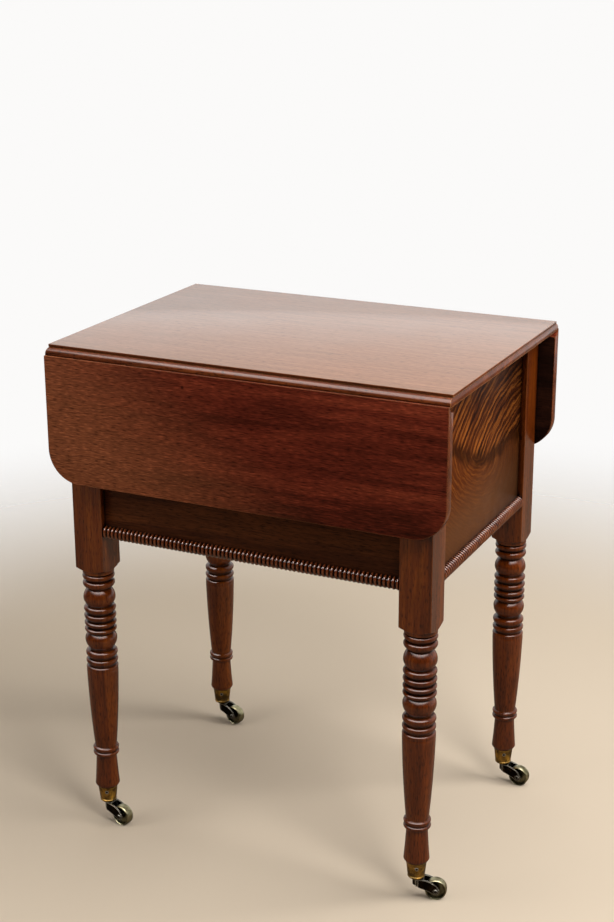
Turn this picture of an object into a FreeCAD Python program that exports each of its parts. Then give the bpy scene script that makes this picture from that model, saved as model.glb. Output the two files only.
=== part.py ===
import FreeCAD, Part
import math
import os

from FreeCAD import Vector

# A small mahogany pembroke table on turned legs with brass casters.
# Lengths are millimetres and angles degrees. The floor is Z = 0 and the origin lies
# under the middle of the top. X runs along the hinges, Y from the front leaf to the
# back leaf. The plain end panel is at +X and the drawer at -X.

# Overall sizes
table_height = 720.0
top_length = 577.0            # over the end mouldings; the leaves are as long
top_depth = 405.5             # from hinge line to hinge line
end_overhang = 23.5           # of the top past the faces of the legs
leaf_clearance = 1.75         # between a hanging leaf and the faces of the legs

# Edge of the top, and the rule joint that it makes with the leaves
fillet_height = 3.8           # upright step above the quarter round
ovolo_radius = 9.0
end_quirk = 1.5               # groove between fillet and moulding on the two ends
rule_clearance = 0.5
leaf_nose_drop = 0.2          # of the hanging leaf's upper edge below the quarter round
leaf_drop = 176.5             # from the hinge line to the hanging leaf's lower edge
leaf_corner_radius = 46.0

# Table hinges, let into the undersides
hinge_plate = 1.6
hinge_pin_rise = 0.4          # from the plate's upper face to the pin's centre
hinge_pin_radius = 1.0
hinge_knuckle_radius = 2.2
hinge_width = 38.0
hinge_inset = 70.0            # from the leg to the middle of the hinge
hinge_knuckle_gap = 0.3
hinge_swing_gap = 0.3
top_flap_length = 28.0
leaf_flap_length = 42.0

# Legs: a square block above, turned below
leg_square = 45.0
leg_block_height = 303.2      # from the top's underside to the block's lower corners
leg_shoulder_height = 5.5
turning_facets = 12           # flats round a turning
straight = 1                  # flats along each kind of member of the turning
ring = 2
swell = 3
turned_top_share = 0.978      # radius under the shoulder, of half the leg's square
# The turning, downwards: kind, height of its lower end as a share of the turned length,
# and radius at half height and at the lower end as shares of half the leg's square
turning_shares = (
    (straight, 0.978, 0.978, 0.978),
    (straight, 0.974, 0.950, 0.900),
    (ring, 0.946, 0.990, 0.900),
    (ring, 0.905, 0.990, 0.780),
    (swell, 0.837, 0.990, 0.865),
    (ring, 0.802, 0.990, 0.865),
    (ring, 0.771, 0.990, 0.865),
    (ring, 0.741, 0.990, 0.865),
    (ring, 0.712, 0.990, 0.865),
    (swell, 0.646, 0.990, 0.780),
    (ring, 0.602, 0.990, 0.890),
    (ring, 0.569, 0.990, 0.900),
    (ring, 0.547, 0.990, 0.950),
    (straight, 0.543, 0.970, 0.987),
    (swell, 0.202, 0.880, 0.698),
    (ring, 0.170, 0.822, 0.740),
    (ring, 0.143, 0.822, 0.667),
    (swell, 0.013, 0.722, 0.780),
)

# Side aprons, end panel and drawer rails
apron_height = 252.2          # of the end panel
side_drop = 3.7               # of the side aprons below the end panel
apron_thickness = 20.0
panel_thickness = 18.0
end_recess = 8.0              # end panel and drawer front, behind the leg faces
tenon_thickness = 8.0
tenon_setback = 2.0           # from the inner face to the tenon
tenon_shoulder = 15.0         # above and below an apron's tenon
rail_tenon_shoulder = 4.0
tenon_gap = 1.5               # between two tenons that meet in a leg
rail_depth = 40.0
top_rail_height = 18.0
bottom_rail_height = 22.0

# Half-round mouldings along the lower edge of the frame
moulding_radius = 9.5

# Fly brackets that swing out under the raised leaves
fly_thickness = 16.0
fly_height = 129.7
fly_setback = 1.5             # behind the leg faces
fly_bracket_length = 160.0
fly_hinge_place = 60.0        # from the middle of the table to the bracket's pin
fly_tip_height = 46.0
fly_ogee_length = 104.0
fly_pin_radius = 2.5
fly_fingers = 3
fly_gap = 0.3

# Drawer
drawer_board = 9.0
drawer_bottom_thickness = 6.0
drawer_bottom_rise = 8.0      # from the sides' lower edge to the bottom panel
drawer_groove = 4.0
drawer_end_gap = 5.0          # behind the drawer, to the line of the right legs
front_clearance = 1.0         # round the drawer front
side_step_down = 3.0          # of the drawer sides below the front's upper edge
slide_clearance = 0.3
runner_width = 34.0
guide_height = 24.0
dovetails = 4
dovetail_length = 12.0
dovetail_root_share = 0.26    # half width of a tail at its root, of the spacing
dovetail_tip_share = 0.34
knob_radius = 15.0
knob_projection = 24.0
knob_shank_radius = 5.0
# The knob, outwards: place along its projection and radius of its rim, as shares
knob_shares = ((0.0, 0.60), (0.25, 0.45), (0.52, 1.00), (0.70, 1.00), (0.93, 0.62), (1.0, 0.20))
knob_place_share = 0.5        # of the half width of the drawer front

# Casters: a brass cup on the foot, a swivelling horn and a wheel
cup_bottom_height = 32.0
cup_height = 24.5
cup_mouth_radius = 14.2
cup_base_radius = 11.6
cup_wall = 1.3
cup_floor = 2.5
cup_fit = 0.1                 # between the cup and the foot
wheel_radius = 15.0
wheel_width = 12.0
caster_trail = 27.0           # from the swivel to the axle
cheek_thickness = 2.5
cheek_end_radius = 6.5
cheek_end_facets = 4
cheek_end_angle = -105.0      # where the rounding of the cheek starts
horn_root_half = 6.0          # half length of the horn's root under the cup
horn_root_height = 13.0
cheek_gap = 0.4               # beside the wheel
web_gap = 1.5                 # in front of the wheel
swivel_gap = 0.3
stem_radius = 3.0
stem_rise = 2.5               # above the cup's floor
stem_room = 1.5               # above the stem, under the foot
axle_radius = 2.0
running_fit = 0.05
trail_angles = {
    "front_left": -10.0,
    "front_right": 17.0,
    "back_left": -12.0,
    "back_right": -3.0,
}

overrun = 2.0                 # of cutting shapes past what they cut

# Heights and places that follow from the sizes
diagonal_share = math.sqrt(0.5)
under_lip = hinge_plate + hinge_pin_rise
board_thickness = fillet_height + ovolo_radius + under_lip
under_z = table_height - board_thickness
hinge_z = under_z + under_lip
hinge_y = top_depth / 2
leg_face_x = top_length / 2 - end_overhang
leg_face_y = hinge_y - under_lip - leaf_clearance
leg_inner_x = leg_face_x - leg_square
leg_inner_y = leg_face_y - leg_square
leg_axis_x = leg_face_x - leg_square / 2
leg_axis_y = leg_face_y - leg_square / 2
hinge_x = leg_inner_x - hinge_inset

apron_bottom = under_z - apron_height
side_apron_bottom = apron_bottom - side_drop
apron_face_y = leg_face_y - moulding_radius
apron_inner_y = apron_face_y - apron_thickness
fly_face_y = leg_face_y - fly_setback
fly_back_y = fly_face_y - fly_thickness
fly_bottom = under_z - fly_height
panel_face_x = leg_face_x - end_recess
panel_inner_x = panel_face_x - panel_thickness
side_tenon_y = apron_inner_y + tenon_setback
end_tenon_x = panel_inner_x + tenon_setback
side_tenon_end_x = end_tenon_x - tenon_gap
end_tenon_end_y = side_tenon_y - tenon_gap

drawer_floor = apron_bottom + bottom_rail_height
drawer_ceiling = under_z - top_rail_height
drawer_half = leg_inner_y - front_clearance
side_bottom = drawer_floor + front_clearance
front_top = drawer_ceiling - front_clearance
side_top = front_top - side_step_down
groove_z = side_bottom + drawer_bottom_rise
groove_top = groove_z + drawer_bottom_thickness
drawer_back_x = leg_inner_x - drawer_end_gap
drawer_inner_half = drawer_half - drawer_board
runner_start_x = rail_depth - panel_face_x
runner_y = apron_inner_y - runner_width

cup_lip_z = cup_bottom_height + cup_height
block_bottom_z = under_z - leg_block_height
horn_top = cup_bottom_height - swivel_gap
horn_half_width = wheel_width / 2 + cheek_gap + cheek_thickness
stem_top = cup_bottom_height + cup_floor + stem_rise
foot_end_z = stem_top + stem_room

along_x = Vector(1, 0, 0)
along_y = Vector(0, 1, 0)
along_z = Vector(0, 0, 1)
origin = Vector(0, 0, 0)


def block(x_from, x_to, y_from, y_to, z_from, z_to):
    """A box between two places on each axis."""
    return Part.makeBox(x_to - x_from, y_to - y_from, z_to - z_from, Vector(x_from, y_from, z_from))


def outline(start, *steps):
    """A face bounded by lines, and by an arc where a step gives a middle and an end."""
    edges = []
    here = start
    for step in steps + (start,):
        if isinstance(step, tuple):
            middle, end = step
            edges.append(Part.Arc(here, middle, end).toShape())
        else:
            end = step
            edges.append(Part.LineSegment(here, end).toShape())
        here = end
    return Part.Face(Part.Wire(edges))


def flat_face(points):
    """A face with straight edges from point to point."""
    return Part.Face(Part.makePolygon(points + points[:1]))


def turned(rims):
    """A turning with flat facets round the Z axis, through rims of a height and a radius."""
    sections = []
    for z, radius in rims:
        section = []
        for facet in range(turning_facets):
            angle = 2 * math.pi * (facet + 0.5) / turning_facets
            section.append(Vector(radius * math.cos(angle), radius * math.sin(angle), z))
        sections.append(section)
    faces = [flat_face(sections[0]), flat_face(sections[-1])]
    for upper, lower in zip(sections, sections[1:]):
        for here in range(turning_facets):
            before = here - 1
            faces.append(flat_face([upper[before], upper[here], lower[here], lower[before]]))
    return Part.Solid(Part.Shell(faces))


def flat_bar(radius, length):
    """A bar with flat facets, up from the origin."""
    return turned([(length, radius), (0, radius)])


def half_turn(shape):
    """A copy turned half round the table's upright middle line."""
    turned = shape.copy()
    turned.rotate(origin, along_z, 180)
    return turned


def edge_section(half, projection, place):
    """The top's section: a fillet above a quarter round on both edges."""
    ovolo_top = hinge_z + ovolo_radius
    bow_z = hinge_z + ovolo_radius * diagonal_share
    bow = half + projection * diagonal_share
    low = half + projection
    return outline(
        place(-low, under_z),
        place(-low, hinge_z),
        (place(-bow, bow_z), place(-half, ovolo_top)),
        place(-half, table_height),
        place(half, table_height),
        place(half, ovolo_top),
        (place(bow, bow_z), place(low, hinge_z)),
        place(low, under_z),
    )


def hinge_relief(x_middle):
    """What a hinge takes out of the top's back edge: plate, knuckles and the leaf flap's way."""
    half = hinge_width / 2
    plate = block(
        x_middle - half, x_middle + half,
        hinge_y - top_flap_length, hinge_y, under_z, under_z + hinge_plate,
    )
    swing = half + hinge_swing_gap
    sweep = block(
        x_middle - swing, x_middle + swing,
        hinge_y, hinge_y + ovolo_radius + overrun, under_z - overrun, hinge_z,
    )
    reach = hinge_knuckle_radius + hinge_swing_gap
    groove = block(
        x_middle - swing, x_middle + swing,
        hinge_y - reach, hinge_y + reach, under_z - overrun, hinge_z + reach,
    )
    return plate.multiFuse([sweep, groove])


def top_board():
    """The fixed top, moulded on all four edges."""
    reach = hinge_y + ovolo_radius
    long_way = edge_section(
        hinge_y, ovolo_radius, lambda y, z: Vector(-top_length / 2, y, z)
    ).extrude(along_x * top_length)
    half = top_length / 2
    cross_way = edge_section(
        half - end_quirk, end_quirk, lambda x, z: Vector(x, -reach, z)
    ).extrude(along_y * (2 * reach))
    fillet = block(-half, half, -reach, reach, hinge_z + ovolo_radius, table_height)
    board = long_way.common(cross_way.fuse(fillet).removeSplitter())
    for x_middle in (-hinge_x, hinge_x):
        relief = hinge_relief(x_middle)
        board = board.cut(relief).cut(half_turn(relief))
    return board


def leaf():
    """The back leaf as it hangs, with the cove of the rule joint along its upper edge."""
    inner = hinge_y - under_lip
    outer = hinge_y + ovolo_radius + fillet_height
    cove = ovolo_radius + rule_clearance
    bottom = hinge_z - leaf_drop
    nose_z = hinge_z - leaf_nose_drop
    nose_y = hinge_y + math.sqrt(cove**2 - leaf_nose_drop**2)
    bow = cove * diagonal_share

    def place(y, z):
        return Vector(-top_length / 2, y, z)

    bar = outline(
        place(inner, bottom),
        place(outer, bottom),
        place(outer, nose_z),
        place(nose_y, nose_z),
        (place(hinge_y + bow, hinge_z - bow), place(hinge_y, hinge_z - cove)),
        place(inner, hinge_z - cove),
    ).extrude(along_x * top_length)
    board = bar.common(leaf_outline(inner, outer, bottom))
    for x_middle in (-hinge_x, hinge_x):
        board = board.cut(leaf_plate(x_middle))
    return board


def leaf_outline(inner, outer, bottom):
    """The leaf's shape seen from the front, with rounded lower corners."""
    half = top_length / 2
    straight = half - leaf_corner_radius
    corner_z = bottom + leaf_corner_radius
    bow = leaf_corner_radius * diagonal_share

    def place(x, z):
        return Vector(x, inner - overrun, z)

    return outline(
        place(-half, table_height),
        place(-half, corner_z),
        (place(-straight - bow, corner_z - bow), place(-straight, bottom)),
        place(straight, bottom),
        (place(straight + bow, corner_z - bow), place(half, corner_z)),
        place(half, table_height),
    ).extrude(along_y * (outer - inner + 2 * overrun))


def leaf_plate(x_middle):
    """The plain plate of a leaf flap as the back leaf hangs."""
    half = hinge_width / 2
    inner = hinge_y - under_lip
    return block(
        x_middle - half, x_middle + half, inner, inner + hinge_plate,
        hinge_z - leaf_flap_length, hinge_z,
    )


def knuckle(x_middle, half):
    """A rolled knuckle on a back hinge's pin line."""
    roll = flat_bar(hinge_knuckle_radius, 2 * half)
    roll.rotate(origin, along_y, 90)
    roll.translate(Vector(x_middle - half, hinge_y, hinge_z))
    return roll


def hinge_pin(x_middle, half, radius):
    """A round bar on a back hinge's pin line."""
    place = Vector(x_middle - half, hinge_y, hinge_z)
    return Part.makeCylinder(radius, 2 * half, place, along_x)


def top_flap(x_middle):
    """A hinge's fixed flap with its two end knuckles and the pin that they hold."""
    half = hinge_width / 2
    third = hinge_width / 6
    start = hinge_knuckle_radius + hinge_swing_gap
    flap = block(
        x_middle - half, x_middle + half,
        hinge_y - top_flap_length, hinge_y, under_z, under_z + hinge_plate,
    )
    gap = block(
        x_middle - third, x_middle + third,
        hinge_y - start, hinge_y + start, under_z - overrun, hinge_z + start,
    )
    pin = hinge_pin(x_middle, third, hinge_pin_radius)
    return flap.fuse(knuckle(x_middle, half)).cut(gap).fuse(pin)


def leaf_flap(x_middle):
    """A hinge's moving flap with its middle knuckle, as the back leaf hangs."""
    half = hinge_width / 2
    third = hinge_width / 6
    start = hinge_knuckle_radius + hinge_swing_gap
    flap = leaf_plate(x_middle)
    tongue = third - hinge_knuckle_gap
    for x_from, x_to in ((-half, -tongue), (tongue, half)):
        flap = flap.cut(block(
            x_middle + x_from, x_middle + x_to,
            hinge_y - under_lip - overrun, hinge_y, hinge_z - start, hinge_z + overrun,
        ))
    bore = hinge_pin(x_middle, tongue, hinge_pin_radius + running_fit)
    return flap.fuse(knuckle(x_middle, tongue)).cut(bore)


def side_tenons():
    """The two tenons of the back side apron."""
    low = apron_bottom + tenon_shoulder
    high = under_z - tenon_shoulder
    side = (side_tenon_y, side_tenon_y + tenon_thickness, low, high)
    return [
        block(leg_inner_x, side_tenon_end_x, *side),
        block(-side_tenon_end_x, -leg_inner_x, *side),
    ]


def end_tenons(bottom, top, shoulder):
    """The two tenons of a board across the right end."""
    span = (end_tenon_x, end_tenon_x + tenon_thickness)
    rise = (bottom + shoulder, top - shoulder)
    return [
        block(*span, leg_inner_y, end_tenon_end_y, *rise),
        block(*span, -end_tenon_end_y, -leg_inner_y, *rise),
    ]


def side_apron():
    """The back side apron, thinned above to house the fly rail."""
    def place(y, z):
        return Vector(-leg_inner_x, y, z)

    board = outline(
        place(apron_inner_y, side_apron_bottom),
        place(apron_face_y, side_apron_bottom),
        place(apron_face_y, fly_bottom),
        place(fly_back_y, fly_bottom),
        place(fly_back_y, under_z),
        place(apron_inner_y, under_z),
    ).extrude(along_x * (2 * leg_inner_x))
    return board.multiFuse(side_tenons())


def end_panel():
    """The plain panel across the right end."""
    board = block(
        panel_inner_x, panel_face_x, -leg_inner_y, leg_inner_y, apron_bottom, under_z
    )
    return board.multiFuse(end_tenons(apron_bottom, under_z, tenon_shoulder))


def drawer_rail(bottom, top):
    """A rail above or below the drawer, across the left end."""
    board = block(
        panel_face_x - rail_depth, panel_face_x, -leg_inner_y, leg_inner_y, bottom, top
    )
    return half_turn(board.multiFuse(end_tenons(bottom, top, rail_tenon_shoulder)))


def turning_rims():
    """Heights and radii of the turning, from the block down to the end of the foot."""
    half = leg_square / 2
    neck_z = block_bottom_z - leg_shoulder_height
    length = neck_z - cup_lip_z
    stock = half / diagonal_share + overrun
    radius_from = half * turned_top_share
    z_from = neck_z
    rims = [(under_z, stock), (block_bottom_z, stock), (neck_z, radius_from)]
    for steps, height_share, middle_share, end_share in turning_shares:
        z_to = cup_lip_z + height_share * length
        middle = half * middle_share
        radius_to = half * end_share
        for step in range(1, steps):
            part = step / steps
            bow = 4 * part * (1 - part) * (middle - (radius_from + radius_to) / 2)
            radius = radius_from + part * (radius_to - radius_from) + bow
            rims.append((z_from + part * (z_to - z_from), radius))
        rims.append((z_to, radius_to))
        z_from = z_to
        radius_from = radius_to
    spigot = cup_wall + cup_fit
    rims.append((cup_lip_z, cup_mouth_radius))
    rims.append((cup_lip_z, cup_mouth_radius - spigot))
    rims.append((foot_end_z, cup_radius(foot_end_z) - spigot))
    return rims


def leg(x_side, y_side, joints):
    """A leg turned from square stock, with mortises for the joints that meet it."""
    half = leg_square / 2
    stock = block(-half, half, -half, half, foot_end_z, under_z)
    post = stock.common(turned(turning_rims()))
    post.translate(Vector(x_side * leg_axis_x, y_side * leg_axis_y, 0))
    return post.cut(Part.makeCompound(joints))


def moulding(span):
    """A half-round moulding along X, its flat back on Y = 0."""
    start = -span / 2
    section = outline(
        Vector(start, 0, -moulding_radius),
        (Vector(start, moulding_radius, 0), Vector(start, 0, moulding_radius)),
    )
    return section.extrude(along_x * span)


def side_moulding():
    """The moulding along the back side apron."""
    strip = moulding(2 * leg_inner_x)
    strip.translate(Vector(0, apron_face_y, side_apron_bottom + moulding_radius))
    return strip


def end_moulding():
    """The moulding across the right end."""
    strip = moulding(2 * leg_inner_y)
    strip.rotate(origin, along_z, -90)
    strip.translate(Vector(panel_face_x, 0, apron_bottom + moulding_radius))
    return strip


def fly_upright(radius, low, high):
    """A rounded bar on the back fly's pin line, with its flats at the given radius."""
    bar = flat_bar(radius / math.cos(math.pi / turning_facets), high - low)
    bar.translate(Vector(fly_hinge_place, (fly_back_y + fly_face_y) / 2, low))
    return bar


def fly_finger_heights(number):
    """Lower and upper end of one finger of the fly's wooden knuckle joint."""
    step = fly_height / fly_fingers
    low = fly_bottom + number * step
    return low, low + step - fly_gap


def fly_rail():
    """The fixed half of the back fly, housed in the apron's rebate, with the fly's pin."""
    radius = fly_thickness / 2
    end_x = fly_hinge_place + radius + fly_gap
    rail = block(end_x, leg_inner_x, fly_back_y, fly_face_y, fly_bottom, under_z)
    for number in range(0, fly_fingers, 2):
        low, high = fly_finger_heights(number)
        finger = block(fly_hinge_place, end_x, fly_back_y, fly_face_y, low, high)
        rail = rail.multiFuse([finger, fly_upright(radius, low, high)])
    return rail.fuse(fly_upright(fly_pin_radius, fly_bottom, under_z - fly_gap))


def fly_bracket():
    """The swinging half of the back fly, folded shut, with an ogee under its tip."""
    radius = fly_thickness / 2
    start_x = fly_hinge_place - radius - fly_gap
    tip_x = fly_hinge_place - fly_bracket_length
    top = under_z - fly_gap
    tip_bottom = top - fly_tip_height
    rise = tip_bottom - fly_bottom
    ogee_end = tip_x + fly_ogee_length
    ogee_middle = tip_x + fly_ogee_length / 2
    quarter = fly_ogee_length / 4
    bow = rise / 8
    back = fly_back_y + fly_gap

    def place(x, z):
        return Vector(x, back, z)

    board = outline(
        place(start_x, top),
        place(tip_x, top),
        place(tip_x, tip_bottom),
        (place(tip_x + quarter, tip_bottom - bow), place(ogee_middle, tip_bottom - rise / 2)),
        (place(ogee_middle + quarter, fly_bottom + bow), place(ogee_end, fly_bottom)),
        place(start_x, fly_bottom),
    ).extrude(along_y * (fly_face_y - back))
    for number in range(1, fly_fingers, 2):
        low, high = fly_finger_heights(number)
        finger = block(start_x, fly_hinge_place, back, fly_face_y, low, high)
        round_end = fly_upright(radius, low, high)
        clear = block(start_x, fly_hinge_place + radius, fly_back_y - overrun, back, low, high)
        hole = fly_upright(fly_pin_radius + running_fit, low, high)
        board = board.multiFuse([finger, round_end.cut(clear)]).cut(hole)
    return board


def runner():
    """The back runner, which carries and guides a drawer side."""
    shelf_z = side_bottom - slide_clearance
    guide_y = drawer_half + slide_clearance

    def place(y, z):
        return Vector(runner_start_x, y, z)

    return outline(
        place(runner_y, apron_bottom),
        place(apron_inner_y, apron_bottom),
        place(apron_inner_y, shelf_z + guide_height),
        place(guide_y, shelf_z + guide_height),
        place(guide_y, shelf_z),
        place(runner_y, shelf_z),
    ).extrude(along_x * (leg_inner_x - runner_start_x))


def kicker():
    """The back kicker, which keeps the drawer level and holds the top down."""
    return block(
        runner_start_x, leg_inner_x, runner_y, apron_inner_y,
        side_top + slide_clearance, under_z,
    )


def dovetail_tails(side):
    """The tails at the front end of a drawer side."""
    spacing = (side_top - side_bottom) / dovetails
    root_x = -panel_inner_x
    tip_x = root_x - dovetail_length
    y_from = drawer_inner_half if side > 0 else -drawer_half
    tails = []
    for number in range(dovetails):
        middle = side_bottom + (number + 0.5) * spacing
        root = spacing * dovetail_root_share
        tip = spacing * dovetail_tip_share
        tail = outline(
            Vector(root_x, y_from, middle - root),
            Vector(tip_x, y_from, middle - tip),
            Vector(tip_x, y_from, middle + tip),
            Vector(root_x, y_from, middle + root),
        )
        tails.append(tail.extrude(along_y * drawer_board))
    return tails


def drawer_side(side):
    """A drawer side, dovetailed in front and grooved for the bottom."""
    y_from = drawer_inner_half if side > 0 else -drawer_half
    board = block(
        -panel_inner_x, drawer_back_x, y_from, y_from + drawer_board, side_bottom, side_top
    )
    return board.multiFuse(dovetail_tails(side)).cut(drawer_bottom())


def drawer_bottom():
    """The drawer's bottom panel, held in grooves on three sides."""
    half = drawer_inner_half + drawer_groove
    return block(
        -panel_inner_x - drawer_groove, drawer_back_x, -half, half, groove_z, groove_top
    )


def drawer_front():
    """The drawer front, with sockets for the tails and holes for the knobs."""
    board = block(
        -panel_face_x, -panel_inner_x, -drawer_half, drawer_half, side_bottom, front_top
    )
    cutters = dovetail_tails(1) + dovetail_tails(-1) + [drawer_bottom()] + drawer_knobs()
    return board.cut(Part.makeCompound(cutters))


def drawer_back():
    """The drawer's back board, standing on the bottom panel."""
    return block(
        drawer_back_x - drawer_board, drawer_back_x,
        -drawer_inner_half, drawer_inner_half, groove_top, side_top,
    )


def drawer_knobs():
    """The two turned knobs, glued into the drawer front."""
    rims = [(-panel_thickness, knob_shank_radius), (0, knob_shank_radius)]
    for out_share, radius_share in knob_shares:
        rims.append((knob_projection * out_share, knob_radius * radius_share))
    middle = (side_bottom + front_top) / 2
    knobs = []
    for side in (-1, 1):
        knob = turned(rims)
        knob.rotate(origin, along_y, -90)
        knob.translate(Vector(-panel_face_x, side * drawer_half * knob_place_share, middle))
        knobs.append(knob)
    return knobs


def cup_radius(z):
    """The caster cup's outer radius at a height on its tapering wall."""
    share = (z - cup_bottom_height) / cup_height
    return cup_base_radius + share * (cup_mouth_radius - cup_base_radius)


def caster_cup():
    """The tapering brass cup, open above, with a hole for the swivel's stem."""
    floor_z = cup_bottom_height + cup_floor
    cup = turned([(cup_lip_z, cup_mouth_radius), (cup_bottom_height, cup_base_radius)])
    inside = turned([
        (cup_lip_z, cup_mouth_radius - cup_wall),
        (floor_z, cup_radius(floor_z) - cup_wall),
    ])
    hole = Part.makeCylinder(
        stem_radius + running_fit, cup_floor, Vector(0, 0, cup_bottom_height)
    )
    return cup.cut(inside).cut(hole)


def caster_horn():
    """The fork that trails from the swivel, with its stem and the wheel's axle."""
    root_bottom = horn_top - horn_root_height
    points = [
        Vector(horn_root_half, -horn_half_width, horn_top),
        Vector(-horn_root_half, -horn_half_width, horn_top),
        Vector(-horn_root_half, -horn_half_width, root_bottom),
    ]
    for facet in range(cheek_end_facets + 1):
        angle = math.radians(cheek_end_angle + 180 * facet / cheek_end_facets)
        x = caster_trail + cheek_end_radius * math.cos(angle)
        z = wheel_radius + cheek_end_radius * math.sin(angle)
        points.append(Vector(x, -horn_half_width, z))
    body = flat_face(points).extrude(along_y * (2 * horn_half_width))
    web_end = caster_trail - wheel_radius - web_gap
    slot_half = wheel_width / 2 + cheek_gap
    body = body.cut(block(
        web_end, caster_trail + wheel_radius, -slot_half, slot_half, 0, cup_lip_z
    ))
    stem = Part.makeCylinder(stem_radius, stem_top - horn_top, Vector(0, 0, horn_top))
    return body.multiFuse([stem, axle(axle_radius, slot_half)])


def axle(radius, half):
    """A round bar on the wheel's axis."""
    place = Vector(caster_trail, -half, wheel_radius)
    return Part.makeCylinder(radius, 2 * half, place, along_y)


def caster_wheel():
    """The brass wheel, bored to run on its axle."""
    half = wheel_width / 2
    return axle(wheel_radius, half).cut(axle(axle_radius + running_fit, half))


def at_leg(shape, x_side, y_side, angle):
    """A caster piece turned to its trailing angle and set under its leg."""
    placed = shape.copy()
    placed.rotate(origin, along_z, angle)
    placed.translate(Vector(x_side * leg_axis_x, y_side * leg_axis_y, 0))
    return placed


def save(node, *solids):
    """Write a node's solids to their file."""
    shape = solids[0] if len(solids) == 1 else Part.makeCompound(solids)
    shape.exportStep("parts/" + node + ".step")


def save_both_sides(node, *solids):
    """Write the back pieces, and the same pieces turned round for the front."""
    save(node + "_back", *solids)
    save(node + "_front", *[half_turn(solid) for solid in solids])


def main():
    """Build every piece and write it to its file."""
    os.makedirs("parts", exist_ok=True)
    hinges = (-hinge_x, hinge_x)

    save("top_board", top_board())
    save_both_sides("leaf", leaf())
    save_both_sides("hinge_top_flaps", *[top_flap(x) for x in hinges])
    save_both_sides("hinge_leaf_flaps", *[leaf_flap(x) for x in hinges])

    apron = side_apron()
    panel = end_panel()
    bottom_rail = drawer_rail(apron_bottom, drawer_floor)
    top_rail = drawer_rail(drawer_ceiling, under_z)
    joints = [apron, half_turn(apron), panel, bottom_rail, top_rail]
    save_both_sides("side_apron", apron)
    save("end_panel_right", panel)
    save("drawer_bottom_rail", bottom_rail)
    save("drawer_top_rail", top_rail)
    save_both_sides("moulding", side_moulding())
    save("moulding_right", end_moulding())
    save("moulding_left", half_turn(end_moulding()))
    save_both_sides("fly_rail", fly_rail())
    save_both_sides("fly_bracket", fly_bracket())

    save("drawer_runner_back", runner())
    save("drawer_runner_front", runner().mirror(origin, along_y))
    save("drawer_kicker_back", kicker())
    save("drawer_kicker_front", kicker().mirror(origin, along_y))
    save("drawer_front", drawer_front())
    save("drawer_side_back", drawer_side(1))
    save("drawer_side_front", drawer_side(-1))
    save("drawer_back", drawer_back())
    save("drawer_bottom", drawer_bottom())
    save("drawer_knobs", *drawer_knobs())

    cups = []
    for corner, angle in trail_angles.items():
        x_side = 1 if corner.endswith("right") else -1
        y_side = 1 if corner.startswith("back") else -1
        save("leg_" + corner, leg(x_side, y_side, joints))
        cups.append(at_leg(caster_cup(), x_side, y_side, 0))
        save("caster_horn_" + corner, at_leg(caster_horn(), x_side, y_side, angle))
        save("caster_wheel_" + corner, at_leg(caster_wheel(), x_side, y_side, angle))
    save("caster_cups", *cups)


main()
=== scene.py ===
import logging
import math
from dataclasses import dataclass, field
from enum import Enum
from typing import Iterable, Optional, Sequence

import bmesh
import bpy
from mathutils import Matrix, Vector


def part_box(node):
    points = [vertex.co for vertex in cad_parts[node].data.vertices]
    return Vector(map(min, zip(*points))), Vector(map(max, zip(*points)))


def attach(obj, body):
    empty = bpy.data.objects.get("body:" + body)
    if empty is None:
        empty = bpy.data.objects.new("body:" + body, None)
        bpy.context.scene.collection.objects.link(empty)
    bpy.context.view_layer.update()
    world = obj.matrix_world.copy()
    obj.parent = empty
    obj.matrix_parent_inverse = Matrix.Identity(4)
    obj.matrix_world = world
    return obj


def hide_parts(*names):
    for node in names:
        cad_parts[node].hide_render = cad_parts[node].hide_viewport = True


# A mahogany pembroke table dressed over its solids. Sizes in the classes are millimetres,
# the meshes are metres. X runs along the hinges, the front leaf is at -Y, the floor at Z = 0.

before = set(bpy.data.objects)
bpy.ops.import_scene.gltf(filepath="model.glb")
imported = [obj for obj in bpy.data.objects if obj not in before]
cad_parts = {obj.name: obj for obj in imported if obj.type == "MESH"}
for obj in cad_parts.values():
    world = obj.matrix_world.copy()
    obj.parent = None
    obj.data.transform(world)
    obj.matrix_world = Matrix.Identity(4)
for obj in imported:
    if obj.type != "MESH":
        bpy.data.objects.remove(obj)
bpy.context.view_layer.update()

LOG = logging.getLogger("pembroke_table")
MM = 0.001
PHOTO_HEIGHT = 922                # of the image, in pixels
WAVE_PITCH = 2 * math.pi / 20     # from one crest of a wave texture to the next
NOISE_SPAN = (0.3, 0.7)           # where most values of a noise lie
EDGE_COSINES = (0.985, 0.90)      # turn of an edge where the paler edge starts (rubbing and painted highlight), and where it is full
EDGE_SAMPLES = 6
RECESS_SKY = (0.40, 0.92)         # open sky where a recess is darkest (dirt and painted shade), and over an open face with none
RECESS_SAMPLES = 8
POLISH_IOR = 1.5                  # of shellac and wax
WELD = 0.002                      # millimetres within which points of a new mesh are one
NODE_WELD = 0.004                 # the same for the copy of a node
SAME_FACE = 0.4                   # degrees within which two facets are one face
KEEN_EDGE = 38.0                  # degrees beyond which an edge gets rounded
LEAST_RADIUS = 0.05               # of a turned tip, in millimetres

Rim = tuple[float, float]         # height and radius, or a place in X and Z, in millimetres
Span = tuple[float, float]        # where something starts, and where it is full
Point = tuple[float, float, float]
Socket = bpy.types.NodeSocket


def linear(colour: str) -> tuple[float, float, float, float]:
    """Turn an sRGB hex colour into linear light.

    Args:
        colour: Six hex digits after a hash sign.

    Returns:
        Red, green, blue and a full alpha for a colour socket.
    """
    channels = [int(colour[place:place + 2], 16) / 255 for place in (1, 3, 5)]
    light = [c / 12.92 if c <= 0.04045 else ((c + 0.055) / 1.055) ** 2.4 for c in channels]
    return (light[0], light[1], light[2], 1.0)


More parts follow.
